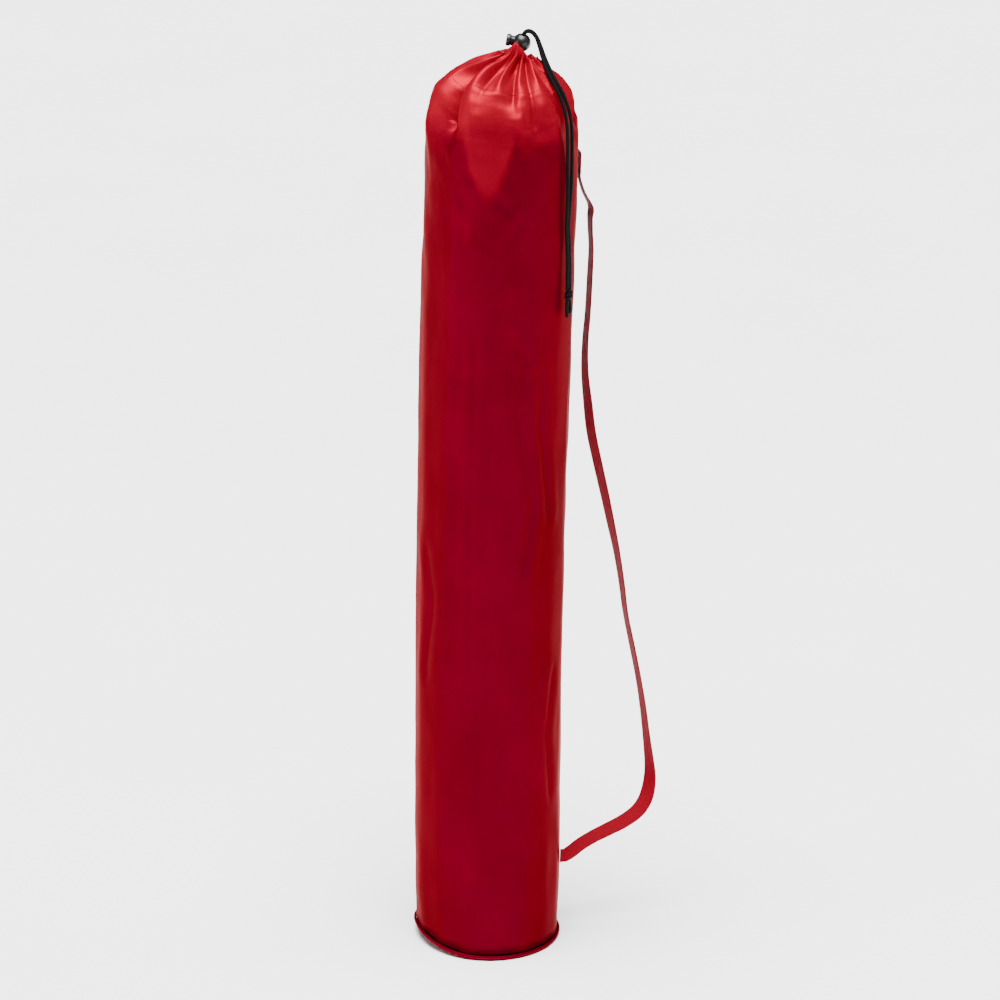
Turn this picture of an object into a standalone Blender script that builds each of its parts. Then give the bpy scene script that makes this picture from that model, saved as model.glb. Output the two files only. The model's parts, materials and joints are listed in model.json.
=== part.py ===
"""Windsock and sectional pole packed in a round drawstring carry bag.

Metres, +Z up. The origin is the centre of the bag's flat bottom. +X points to the side
seam's half of the bag, where the shoulder strap hangs, and -Y is the front.
"""
import math

import bmesh
import bpy
from mathutils import Matrix, Vector

MM = 0.001
GAP = 0.3 * MM              # clearance between pieces that touch

# Carry bag
BAG_R = 75 * MM
BAG_WALL = 0.8 * MM
BAG_SHOULDER = 845 * MM     # height where the wall turns in to the neck
DOME_RISE = 60 * MM
NECK_R = 13 * MM
NECK_X = 14.8 * MM          # the cinched neck sits off the bag's axis
NECK_Y = -5 * MM
FOOT_TUCK = 1.5 * MM        # the wall comes in this much to the bottom seam
FOOT_TAPER = 60 * MM
BOTTOM_EASE = 0.8 * MM      # between the wall and the bottom disc
BOTTOM_THICK = 1.5 * MM
SEAM_W = 2.4 * MM
SEAM_H = 5 * MM
BAG_SEGMENTS = 48

# Drawstring casing and drawstring
CASING_INNER_W = 5.2 * MM   # from the drawstring's centre line in to the casing's edge
CASING_OUTER_W = 5.5 * MM
CASING_H = 14.1 * MM
CHANNEL_R = 14 * MM         # centre line of the drawstring round the neck
CHANNEL_CLEARANCE = 0.75 * MM
CORD_R = 1.75 * MM
EXIT_EASE = 3.25 * MM       # room beside a cord for its bend up through the exit

# Ball cord lock: u runs out along its button, w up along its hole
LOCK_R = 8.83 * MM
LOCK_TILT = 11              # degrees
HOLE_END_CLEARANCE = 0.2 * MM
BORE_R = 5 * MM
BORE_DEPTH = 6.3 * MM       # past the ball's centre
SPRING_POCKET_R = 3.2 * MM
SPRING_POCKET_DEPTH = 7.6 * MM
STEM_CLEARANCE = 0.2 * MM
STEM_INNER_END = -3.2 * MM
BUTTON_TRAVEL = 3 * MM
BUTTON_R = 5.8 * MM
BUTTON_THICK = 4.4 * MM
BUTTON_SEAT = 7.45 * MM     # u of the button's inner face when it is fully pressed
SPRING_R = 2.5 * MM
SPRING_WIRE_R = 0.25 * MM
SPRING_TURNS = 3

# Shoulder strap, sewn into the side seam at both ends
STRAP_ANGLE = 12            # degrees behind +X
STRAP_W = 15 * MM
STRAP_THICK = 1.2 * MM
STITCH_THICK = 0.5 * MM
SEAM_ALLOWANCE_W = 10 * MM

# Windsock
SOCK_EASE = 8 * MM          # folded sleeve to the bag's radius
SOCK_TAPER = 7 * MM
SOCK_WALL = 0.6 * MM
SOCK_BELOW_SWIVEL = 10.2 * MM
HOOP_INSET = 1 * MM
HOOP_WIRE_R = 2 * MM
BRIDLE_R = 0.9 * MM
BRIDLES = 3
SWIVEL_H = 12 * MM

# Plug-together pole
POLE_R = 12.5 * MM
POLE_WALL = 1.2 * MM
POLE_SPACING = 0.4 * MM
SECTION_LENGTH = 760 * MM
TOP_SECTION_LENGTH = 840 * MM
SPIGOT_IN = 60 * MM
SPIGOT_OUT = 70 * MM
PLUG_FLANGE = 3 * MM
PLUG_INSERT = 15 * MM
SNAP_R = 3 * MM
SNAP_PROUD = 3.2 * MM
SNAP_BELOW_TOP = 35 * MM
BUNDLE_STRAP_W = 25 * MM
BUNDLE_STRAP_THICK = 1.5 * MM
BUNDLE_STRAP_HEIGHTS = (200 * MM, 600 * MM)
SPINDLE_R = 4 * MM
SPIKE_R = 7 * MM
SPIKE_LENGTH = 310 * MM
SPIKE_STUB = 60 * MM

# Sizes that follow from the ones above
FOOT_R = BAG_R - FOOT_TUCK  # wall radius at the bottom seam
BOTTOM_R = FOOT_R - BAG_WALL - BOTTOM_EASE
CASING_IN_R = CHANNEL_R - CASING_INNER_W
CASING_OUT_R = CHANNEL_R + CASING_OUTER_W
CHANNEL_BORE_R = CORD_R + CHANNEL_CLEARANCE
CORD_PITCH = CORD_R + GAP / 2   # half the distance between the two cords in the lock
EXIT_HALF_W = CORD_R + EXIT_EASE
HOLE_HALF_U = CORD_R + GAP
HOLE_HALF_V = CORD_PITCH + CORD_R + HOLE_END_CLEARANCE
SOCK_MOUTH_R = BAG_R - SOCK_EASE
SOCK_TAIL_R = SOCK_MOUTH_R - SOCK_TAPER
HOOP_R = SOCK_MOUTH_R - HOOP_INSET
POLE_PITCH_R = 2 * POLE_R + POLE_SPACING    # distance of the outer sections from the middle one
NECK_TOP = BAG_SHOULDER + DOME_RISE
CASING_BOTTOM = NECK_TOP + GAP
CASING_TOP = CASING_BOTTOM + CASING_H
KIT_FLOOR = BOTTOM_THICK + GAP
SPIGOT_R = POLE_R - POLE_WALL - GAP
SPIKE_X = POLE_PITCH_R + POLE_R - SPIKE_R + 0.1 * MM
LOCK_AXIS = Vector((math.sin(math.radians(LOCK_TILT)), 0, math.cos(math.radians(LOCK_TILT))))
LOCK_CENTRE = Vector((NECK_X, NECK_Y + CHANNEL_R, CASING_TOP)) + LOCK_AXIS * (LOCK_R + GAP)

# Route of the pair of drawstring tails in mm: x, y, z, half the distance between the two
# cords, and the angle in degrees from +Y towards +X of the line that joins them
TAIL_ROUTE = (
    (18.6, 9.0, 936.8, 1.90, 0),
    (20.4, 9.0, 938.9, 1.90, 0),
    (23.2, 9.0, 939.6, 1.90, 0),
    (26.8, 8.6, 938.3, 1.92, 2),
    (30.8, 7.0, 933.8, 1.95, 8),
    (34.2, 3.0, 926.0, 2.05, 18),
    (37.4, -4.0, 918.0, 2.10, 30),
    (41.0, -13.0, 911.0, 2.15, 42),
    (45.4, -21.5, 903.8, 2.20, 46),
    (50.6, -29.5, 896.6, 2.20, 48),
    (55.4, -35.0, 888.6, 2.50, 44),
    (59.0, -38.4, 879.6, 3.10, 38),
    (61.8, -40.8, 869.6, 3.60, 35),
    (63.5, -42.8, 857.4, 3.80, 34),
    (64.2, -44.0, 843.0, 3.80, 34),
    (64.5, -43.8, 828.3, 3.70, 34),
    (64.9, -43.2, 806.0, 3.20, 34),
    (64.4, -43.8, 784.2, 2.20, 34),
    (63.8, -44.8, 764.6, 1.95, 34),
    (64.9, -43.2, 744.5, 1.95, 34),
    (65.8, -42.1, 724.3, 1.95, 33),
    (66.0, -42.4, 708.0, 1.95, 33),
    (66.2, -43.2, 700.2, 1.95, 33),
)
KNOT_CENTRE = (66.4, -43.6, 695.0)
KNOT_R = 4.0 * MM
KNOT_H = 9.8 * MM
TIP_ROUTES = (
    ((65.4, -45.3, 689.8), (65.0, -45.7, 684.0), (65.2, -45.4, 678.0), (65.6, -44.8, 673.0)),
    ((67.4, -41.9, 689.8), (68.0, -41.6, 685.0), (68.2, -41.3, 680.0), (67.8, -41.2, 676.0)),
)

# Route of the strap in mm: distance from the bag's axis in the strap's own upright plane,
# height, and the turn in degrees of its width from level (0) towards that plane (90)
STRAP_ROUTE = (
    (75.9, 822, 0),
    (75.9, 808, 0),
    (76.1, 797, 0),
    (81.0, 781, 4),
    (88.6, 766, 10),
    (88.2, 756, 8),
    (88.9, 741, 6),
    (90.2, 722, 6),
    (89.6, 692, 8),
    (88.6, 658, 8),
    (86.9, 628, 10),
    (87.4, 598, 16),
    (91.0, 567, 24),
    (95.4, 535, 28),
    (102.4, 504, 28),
    (110.2, 472, 26),
    (117.8, 439, 22),
    (125.0, 407, 16),
    (131.0, 374, 12),
    (136.0, 341, 10),
    (143.2, 308, 12),
    (150.4, 275, 12),
    (156.6, 242, 14),
    (161.6, 208, 18),
    (165.8, 178, 28),
    (167.2, 162, 38),
    (166.2, 147, 50),
    (162.6, 133, 62),
    (154.8, 121, 72),
    (141.0, 111, 80),
    (124.6, 103, 86),
    (109.6, 96, 90),
    (96.0, 88, 90),
    (87.0, 81, 90),
    (80.4, 77, 90),
    (75.9, 77, 90),
)


def clear_scene():
    for old in list(bpy.data.objects):
        bpy.data.objects.remove(old)


def new_collection(name):
    collection = bpy.data.collections.new(name)
    bpy.context.scene.collection.children.link(collection)
    return collection


def new_material(name, colour, roughness, metallic=0.0):
    material = bpy.data.materials.new(name)
    material.use_nodes = True
    shader = material.node_tree.nodes["Principled BSDF"]
    shader.inputs["Base Color"].default_value = (*colour, 1)
    shader.inputs["Roughness"].default_value = roughness
    shader.inputs["Metallic"].default_value = metallic
    material.diffuse_color = (*colour, 1)
    return material


clear_scene()
PARTS = new_collection("windsock_carry_kit")
CUTTERS = new_collection("cutters")

RED_FABRIC = new_material("red coated fabric", (0.31, 0.003, 0.01), 0.42)
RED_WEBBING = new_material("red webbing", (0.47, 0.018, 0.03), 0.6)
RED_THREAD = new_material("red thread", (0.4, 0.01, 0.02), 0.7)
BLACK_CORD = new_material("black braided cord", (0.012, 0.012, 0.012), 0.75)
BLACK_PLASTIC = new_material("black plastic", (0.015, 0.015, 0.015), 0.4)
SPRING_STEEL = new_material("spring steel", (0.55, 0.55, 0.55), 0.3, 1.0)
ALUMINIUM = new_material("aluminium", (0.75, 0.75, 0.76), 0.35, 1.0)
GALVANISED = new_material("galvanised steel", (0.5, 0.51, 0.53), 0.45, 1.0)
ORANGE_FABRIC = new_material("orange windsock fabric", (0.9, 0.2, 0.02), 0.6)
WHITE_LINE = new_material("white line", (0.8, 0.8, 0.78), 0.7)


def place(obj, collection, material=None, parent=None):
    collection.objects.link(obj)
    if material:
        obj.data.materials.append(material)
    if parent:
        obj.parent = parent
    if collection == CUTTERS:
        obj.hide_render = True
        obj.display_type = "WIRE"
    return obj


def mesh_object(name, bm, collection, material=None, parent=None, smooth=35):
    mesh = bpy.data.meshes.new(name)
    bm.to_mesh(mesh)
    bm.free()
    mesh.shade_smooth()
    mesh.set_sharp_from_angle(angle=math.radians(smooth))
    return place(bpy.data.objects.new(name, mesh), collection, material, parent)


def box(name, size, centre, collection=PARTS, material=None, parent=None):
    """Box of full size, centred on a point of its own frame."""
    bm = bmesh.new()
    bmesh.ops.create_cube(bm, size=1)
    bmesh.ops.scale(bm, vec=size, verts=bm.verts)
    bmesh.ops.translate(bm, vec=centre, verts=bm.verts)
    return mesh_object(name, bm, collection, material, parent)


def rod(name, radius, low, high, axis="Z", segments=24, collection=PARTS, material=None, parent=None):
    """Plain cylinder between two places on one of its frame's axes."""
    bm = bmesh.new()
    bmesh.ops.create_cone(
        bm, cap_ends=True, segments=segments, radius1=radius, radius2=radius, depth=high - low
    )
    bmesh.ops.translate(bm, vec=(0, 0, (low + high) / 2), verts=bm.verts)
    if axis == "X":
        bmesh.ops.rotate(bm, matrix=Matrix.Rotation(math.radians(90), 3, "Y"), verts=bm.verts)
    return mesh_object(name, bm, collection, material, parent)


def take_primitive(name, collection, material=None):
    """Name the primitive that an operator has just added and move it to its collection."""
    obj = bpy.context.object
    obj.name = name
    for owner in list(obj.users_collection):
        owner.objects.unlink(obj)
    obj.data.shade_smooth()
    return place(obj, collection, material)


def turned(name, profile, segments=32, centre=(0, 0, 0), material=None, parent=None, collection=PARTS):
    """Turn a profile of (radius, height) about Z: it runs down the outer side, then up the
    inner one, and closes on itself unless it starts and ends on the axis."""
    bm = bmesh.new()
    verts = [bm.verts.new((radius, 0, height)) for radius, height in profile]
    for first, second in zip(verts, verts[1:]):
        bm.edges.new((first, second))
    if profile[0][0] > 0:
        bm.edges.new((verts[-1], verts[0]))
    obj = mesh_object(name, bm, collection, material, parent)
    obj.location = centre
    screw = obj.modifiers.new("Turn", "SCREW")
    screw.axis = "Z"
    screw.angle = math.tau
    screw.steps = segments
    screw.render_steps = segments
    screw.use_merge_vertices = True
    screw.merge_threshold = 0.00005
    screw.use_smooth_shade = True
    return obj


def tube(name, points, radius, material, sides=2, parent=None):
    """Round cord or wire through the points, with flat ends."""
    curve = bpy.data.curves.new(name, "CURVE")
    curve.dimensions = "3D"
    curve.bevel_depth = radius
    curve.bevel_resolution = sides
    curve.use_fill_caps = True
    spline = curve.splines.new("POLY")
    spline.points.add(len(points) - 1)
    for target, point in zip(spline.points, points):
        target.co = (*point, 1)
    return place(bpy.data.objects.new(name, curve), PARTS, material, parent)


def cut(obj, cutter, operation="DIFFERENCE"):
    boolean = obj.modifiers.new(cutter.name, "BOOLEAN")
    boolean.operation = operation
    boolean.solver = "EXACT"
    boolean.object = cutter


def catmull_rom(route, spacing):
    """Points about `spacing` apart on a smooth curve through the route's own points."""
    ends = [route[0] * 2 - route[1], *route, route[-1] * 2 - route[-2]]
    smooth = []
    for before, start, end, after in zip(ends, ends[1:], ends[2:], ends[3:]):
        pieces = max(1, round((end - start).length / spacing))
        for step in range(pieces):
            t = step / pieces
            smooth.append(
                0.5
                * (
                    start * 2
                    + (end - before) * t
                    + (before * 2 - start * 5 + end * 4 - after) * t**2
                    + (start * 3 - before - end * 3 + after) * t**3
                )
            )
    smooth.append(route[-1])
    return smooth


def loft(name, rings, closed, material, smooth=50):
    """Skin a run of equal rings of points, closed into a loop or capped at both ends."""
    bm = bmesh.new()
    loops = [[bm.verts.new(point) for point in ring] for ring in rings]
    pairs = list(zip(loops, loops[1:]))
    if closed:
        pairs.append((loops[-1], loops[0]))
    for upper, lower in pairs:
        for i in range(len(upper)):
            j = (i + 1) % len(upper)
            bm.faces.new((upper[i], lower[i], lower[j], upper[j]))
    if not closed:
        bm.faces.new(loops[0])
        bm.faces.new(reversed(loops[-1]))
    return mesh_object(name, bm, PARTS, material, smooth=smooth)


def ring_points(centre_x, centre_y, height, radius):
    angles = [math.tau * i / BAG_SEGMENTS for i in range(BAG_SEGMENTS)]
    return [
        (centre_x + radius * math.cos(angle), centre_y + radius * math.sin(angle), height)
        for angle in angles
    ]


# Carry bag


def bag_side(wall):
    """Rings of the bag's side from the neck down, `wall` inside its outer face."""
    rings = []
    steps = 9
    for step in range(steps + 1):
        rise = math.radians(90) * (1 - step / steps)
        shift = 1 - math.cos(rise)
        radius = NECK_R + (BAG_R - NECK_R - wall) * math.cos(rise)
        height = BAG_SHOULDER + (DOME_RISE - wall) * math.sin(rise)
        rings.append(ring_points(NECK_X * shift, NECK_Y * shift, height, radius))
    rings.append(ring_points(0, 0, FOOT_TAPER, BAG_R - wall))
    rings.append(ring_points(0, 0, SEAM_H + GAP, FOOT_R - wall))
    return rings


def make_bag():
    outer = bag_side(0)
    inner = bag_side(BAG_WALL)
    loft("bag_body", outer + inner[::-1], True, RED_FABRIC)
    rod("bag_bottom", BOTTOM_R, 0, BOTTOM_THICK, segments=BAG_SEGMENTS, material=RED_FABRIC)
    inside = BOTTOM_R + GAP
    outside = inside + SEAM_W
    bevel = 0.8 * MM
    turned(
        "bottom_seam_binding",
        (
            (inside + bevel, SEAM_H),
            (outside - bevel, SEAM_H),
            (outside, SEAM_H - bevel),
            (outside, bevel),
            (outside - bevel, 0),
            (inside, 0),
            (inside, SEAM_H - bevel),
        ),
        BAG_SEGMENTS,
        material=RED_FABRIC,
    )
    seam_out = BAG_R - BAG_WALL - 0.7 * MM
    seam_low = FOOT_TAPER + 2 * MM
    allowance = box(
        "side_seam_allowance",
        (1 * MM, SEAM_ALLOWANCE_W, BAG_SHOULDER - seam_low),
        (seam_out - 0.5 * MM, 0, (BAG_SHOULDER + seam_low) / 2),
        material=RED_FABRIC,
    )
    allowance.rotation_euler.z = math.radians(STRAP_ANGLE)


def make_casing():
    """Gathered hem ring with the drawstring's channel and its exit slot."""
    bevel = 1.7 * MM
    casing = turned(
        "drawstring_casing",
        (
            (CASING_IN_R + bevel, CASING_TOP),
            (CASING_OUT_R - bevel, CASING_TOP),
            (CASING_OUT_R, CASING_TOP - bevel),
            (CASING_OUT_R, CASING_BOTTOM + bevel),
            (CASING_OUT_R - bevel, CASING_BOTTOM),
            (CASING_IN_R + bevel, CASING_BOTTOM),
            (CASING_IN_R, CASING_BOTTOM + bevel),
            (CASING_IN_R, CASING_TOP - bevel),
        ),
        centre=(NECK_X, NECK_Y, 0),
        material=RED_FABRIC,
    )
    centre = Vector((NECK_X, NECK_Y, channel_height()))
    bpy.ops.mesh.primitive_torus_add(
        location=centre,
        major_radius=CHANNEL_R,
        minor_radius=CHANNEL_BORE_R,
        major_segments=32,
        minor_segments=10,
    )
    channel = take_primitive("channel_cutter", CUTTERS)
    cut(casing, channel)
    slot_low = centre.z - CORD_R - GAP
    slot_high = CASING_TOP + 1 * MM
    slot = box(
        "exit_cutter",
        (2 * EXIT_HALF_W, 2 * (CORD_PITCH + CORD_R + GAP), slot_high - slot_low),
        (NECK_X, NECK_Y + CHANNEL_R, (slot_high + slot_low) / 2),
        CUTTERS,
    )
    cut(casing, slot)


def channel_height():
    return CASING_BOTTOM + CASING_H * 0.47


# Shoulder strap


def strap_frame():
    angle = math.radians(STRAP_ANGLE)
    outward = Vector((math.cos(angle), math.sin(angle), 0))
    sideways = Vector((-math.sin(angle), math.cos(angle), 0))
    return outward, sideways


def make_strap():
    outward, sideways = strap_frame()
    up = Vector((0, 0, 1))
    points = [Vector((reach, height, turn)) for reach, height, turn in STRAP_ROUTE]
    rings = []
    for before, point, after in zip([points[0], *points], points, [*points[1:], points[-1]]):
        along = (outward * (after.x - before.x) + up * (after.y - before.y)).normalized()
        normal = sideways.cross(along)
        turn = math.radians(point.z)
        across = (sideways * math.cos(turn) + normal * math.sin(turn)) * (STRAP_W / 2)
        thick = (normal * math.cos(turn) - sideways * math.sin(turn)) * (STRAP_THICK / 2)
        centre = (outward * point.x + up * point.y) * MM
        rings.append([centre + across + thick, centre - across + thick,
                      centre - across - thick, centre + across - thick])
    loft("shoulder_strap", rings, False, RED_WEBBING, smooth=40)
    make_strap_stitching()


def make_strap_stitching():
    face = STRAP_ROUTE[0][0] * MM + STRAP_THICK / 2 + GAP
    high = STRAP_ROUTE[0][1] * MM - 1 * MM
    height = 22 * MM
    width = STRAP_W - 3 * MM
    centre = (face + STITCH_THICK / 2, 0, high - height / 2)
    frame = box("strap_top_stitching", (STITCH_THICK, width, height), centre, material=RED_THREAD)
    frame.rotation_euler.z = math.radians(STRAP_ANGLE)
    inner = (STITCH_THICK * 3, width - 2 * MM, height - 2 * MM)
    window = box("stitch_window_cutter", inner, centre, CUTTERS)
    window.rotation_euler.z = math.radians(STRAP_ANGLE)
    cut(frame, window)
    low = STRAP_ROUTE[-1][1] * MM
    tack = box(
        "strap_bottom_bar_tack",
        (0.8 * MM, 2 * MM, STRAP_W + 2 * MM),
        (BAG_R + GAP + 0.4 * MM, -STRAP_THICK / 2 - GAP - 1 * MM, low),
        material=RED_THREAD,
    )
    tack.rotation_euler.z = math.radians(STRAP_ANGLE)


# Drawstring


def lock_point(height, side):
    """Place on a cord's straight run through the lock, `height` along its hole."""
    return LOCK_CENTRE + LOCK_AXIS * height + Vector((0, side * CORD_PITCH, 0))


def make_drawstring_loop():
    """One cord round the neck inside the casing, both ends up into the lock."""
    level = channel_height()
    centre = Vector((NECK_X, NECK_Y, level))

    def rise(side):
        """From the ring up into the lock, for the cord that ends at y = side."""
        bend = (
            (3.6, 0.30, 0.3),
            (1.6, 0.75, 1.7),
            (0.3, 1.00, 3.6),
        )
        first = math.sqrt(CHANNEL_R**2 - (bend[0][0] * MM) ** 2)
        points = []
        for across, shift, lift in bend:
            depth = first + (CHANNEL_R + side * CORD_PITCH - first) * shift
            points.append(centre + Vector((side * across * MM, depth, lift * MM)))
        points.append(lock_point(-LOCK_R - 2 * MM, side))
        points.append(lock_point(-LOCK_R + 2 * MM, side))
        points.append(lock_point(-GAP / 2, side))
        return points

    start = math.degrees(math.asin(5.8 * MM / CHANNEL_R))
    steps = 24
    ring = []
    for step in range(steps + 1):
        angle = math.radians(90 - start - (360 - 2 * start) * step / steps)
        ring.append(centre + Vector((math.cos(angle), math.sin(angle), 0)) * CHANNEL_R)
    points = rise(1)[::-1] + ring + rise(-1)
    tube("drawstring_loop", points, CORD_R, BLACK_CORD)


def make_tails():
    for name, side in (("drawstring_tail_a", -1), ("drawstring_tail_b", 1)):
        straight = [lock_point(GAP / 2, side), lock_point(LOCK_R * 0.6, side)]
        route = []
        for x, y, z, spread, turn in TAIL_ROUTE:
            angle = math.radians(turn)
            offset = Vector((math.sin(angle), math.cos(angle), 0)) * (side * spread)
            route.append((Vector((x, y, z)) + offset) * MM)
        points = straight[:1] + catmull_rom([straight[1], *route], 6 * MM)
        tube(name, points, CORD_R, BLACK_CORD)
    bevel = 1.4 * MM
    half = KNOT_H / 2
    turned(
        "drawstring_knot",
        (
            (0, half),
            (KNOT_R - bevel, half),
            (KNOT_R, half - bevel),
            (KNOT_R, bevel - half),
            (KNOT_R - bevel, -half),
            (0, -half),
        ),
        12,
        centre=Vector(KNOT_CENTRE) * MM,
        material=BLACK_CORD,
    )
    for name, route in zip(("drawstring_end_a", "drawstring_end_b"), TIP_ROUTES):
        tube(name, [Vector(point) * MM for point in route], CORD_R, BLACK_CORD)


# Cord lock


def make_cord_lock():
    lock = bpy.data.objects.new("cord_lock_frame", None)
    PARTS.objects.link(lock)
    lock.location = LOCK_CENTRE
    lock.rotation_euler = (0, -math.radians(LOCK_TILT), math.radians(180))

    bm = bmesh.new()
    bmesh.ops.create_uvsphere(bm, u_segments=24, v_segments=14, radius=LOCK_R)
    barrel = mesh_object("cord_lock_barrel", bm, PARTS, BLACK_PLASTIC, lock)
    far = 2 * LOCK_R
    bore = rod("bore_cutter", BORE_R, -BORE_DEPTH, far, "X", collection=CUTTERS, parent=lock)
    pocket = rod(
        "spring_pocket_cutter", SPRING_POCKET_R, -SPRING_POCKET_DEPTH, 0, "X", 16, CUTTERS, parent=lock
    )
    hole = box(
        "hole_cutter", (2 * HOLE_HALF_U, 2 * HOLE_HALF_V, 2 * far), (0, 0, 0), CUTTERS, parent=lock
    )
    flare = box(
        "hole_flare_cutter", (2 * HOLE_HALF_U, 2 * HOLE_HALF_V, far), (0, 0, far / 2), CUTTERS, parent=lock
    )
    flare.location = (0, 0, LOCK_R * 0.58)
    flare.rotation_euler.y = math.radians(-34)
    for cutter in (bore, pocket, hole, flare):
        cut(barrel, cutter)

    stem_r = BORE_R - STEM_CLEARANCE
    seat = BUTTON_SEAT + BUTTON_TRAVEL
    edge = 0.7 * MM
    button = turned(
        "cord_lock_plunger",
        (
            (0, seat + BUTTON_THICK),
            (BUTTON_R - edge, seat + BUTTON_THICK),
            (BUTTON_R, seat + BUTTON_THICK - edge),
            (BUTTON_R, seat + edge),
            (BUTTON_R - edge, seat),
            (stem_r, seat),
            (stem_r, STEM_INNER_END),
            (0, STEM_INNER_END),
        ),
        24,
        material=BLACK_PLASTIC,
        parent=lock,
    )
    button.rotation_euler.y = math.radians(90)
    slot_low = -HOLE_HALF_U
    slot_high = HOLE_HALF_U + BUTTON_TRAVEL
    slot = box(
        "stem_slot_cutter",
        (slot_high - slot_low, 2 * HOLE_HALF_V, 4 * stem_r),
        ((slot_high + slot_low) / 2, 0, 0),
        CUTTERS,
        parent=lock,
    )
    cut(button, slot)

    low = -SPRING_POCKET_DEPTH + GAP + SPRING_WIRE_R
    high = STEM_INNER_END - GAP - SPRING_WIRE_R
    turns = []
    per_turn = 10
    for step in range(SPRING_TURNS * per_turn + 1):
        share = step / (SPRING_TURNS * per_turn)
        angle = math.tau * SPRING_TURNS * share
        reach = low + (high - low) * share
        turns.append((reach, SPRING_R * math.cos(angle), SPRING_R * math.sin(angle)))
    tube("cord_lock_spring", turns, SPRING_WIRE_R, SPRING_STEEL, 1, lock)


# Windsock


def make_windsock():
    low = KIT_FLOOR
    turned(
        "windsock_sleeve",
        (
            (SOCK_MOUTH_R, sock_top()),
            (SOCK_TAIL_R, low),
            (SOCK_TAIL_R - SOCK_WALL, low),
            (SOCK_MOUTH_R - SOCK_WALL, sock_top()),
        ),
        36,
        material=ORANGE_FABRIC,
    )
    hoop_z = sock_top() + GAP + HOOP_WIRE_R
    bpy.ops.mesh.primitive_torus_add(
        location=(0, 0, hoop_z),
        major_radius=HOOP_R,
        minor_radius=HOOP_WIRE_R,
        major_segments=36,
        minor_segments=8,
    )
    take_primitive("windsock_mouth_hoop", PARTS, GALVANISED)

    hub_low = swivel_seat()
    flange_r = 11 * MM
    hub_r = 7 * MM
    bore = SPINDLE_R + GAP
    flange_low = hub_low + 6 * MM
    flange_high = flange_low + 3 * MM
    hub_high = hub_low + SWIVEL_H
    turned(
        "windsock_swivel",
        (
            (bore, hub_high),
            (hub_r, hub_high),
            (hub_r, flange_high),
            (flange_r, flange_high),
            (flange_r, flange_low),
            (hub_r, flange_low),
            (hub_r, hub_low),
            (bore, hub_low),
        ),
        24,
        material=BLACK_PLASTIC,
    )
    rim_z = (flange_low + flange_high) / 2
    for number in range(BRIDLES):
        angle = math.radians(90) + math.tau * number / BRIDLES
        outward = Vector((math.cos(angle), math.sin(angle), 0))
        hoop_point = outward * HOOP_R + Vector((0, 0, hoop_z))
        rim_point = outward * flange_r + Vector((0, 0, rim_z))
        along = (rim_point - hoop_point).normalized()
        start = hoop_point + along * (HOOP_WIRE_R + GAP)
        end = rim_point - along * (2 * GAP)
        points = [start.lerp(end, step / 6) for step in range(7)]
        tube(f"windsock_bridle_{number + 1}", points, BRIDLE_R, WHITE_LINE, 1)


def swivel_seat():
    """Height of the pole head's shoulder, which the swivel turns on."""
    return KIT_FLOOR + TOP_SECTION_LENGTH + GAP + 4 * MM + GAP


def sock_top():
    """Height of the windsock's mouth, just below the seat of its swivel."""
    return swivel_seat() - SOCK_BELOW_SWIVEL


# Pole


def pole_tube(name, low, length, centre=(0, 0, 0)):
    inner = POLE_R - POLE_WALL
    turned(
        name,
        ((POLE_R, low + length), (POLE_R, low), (inner, low), (inner, low + length)),
        24,
        centre=centre,
        material=ALUMINIUM,
    )


def make_pole_head():
    pole_tube("pole_top_section", KIT_FLOOR, TOP_SECTION_LENGTH)
    tube_top = KIT_FLOOR + TOP_SECTION_LENGTH
    shoulder = swivel_seat() - GAP
    spindle_top = swivel_seat() + SWIVEL_H + 5 * MM
    turned(
        "pole_head",
        (
            (0, spindle_top),
            (SPINDLE_R, spindle_top),
            (SPINDLE_R, shoulder),
            (POLE_R, shoulder),
            (POLE_R, tube_top + GAP),
            (SPIGOT_R, tube_top + GAP),
            (SPIGOT_R, tube_top - 20 * MM),
            (0, tube_top - 20 * MM),
        ),
        24,
        material=BLACK_PLASTIC,
    )
    nut_low = swivel_seat() + SWIVEL_H + GAP
    nut_r = 7 * MM
    nut_top = spindle_top + 2.5 * MM
    turned(
        "pole_head_nut",
        (
            (0, nut_top),
            (nut_r - 2 * MM, nut_top),
            (nut_r, nut_top - 2 * MM),
            (nut_r, nut_low),
            (SPINDLE_R + GAP, nut_low),
            (SPINDLE_R + GAP, spindle_top + GAP),
            (0, spindle_top + GAP),
        ),
        24,
        material=GALVANISED,
    )


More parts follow.
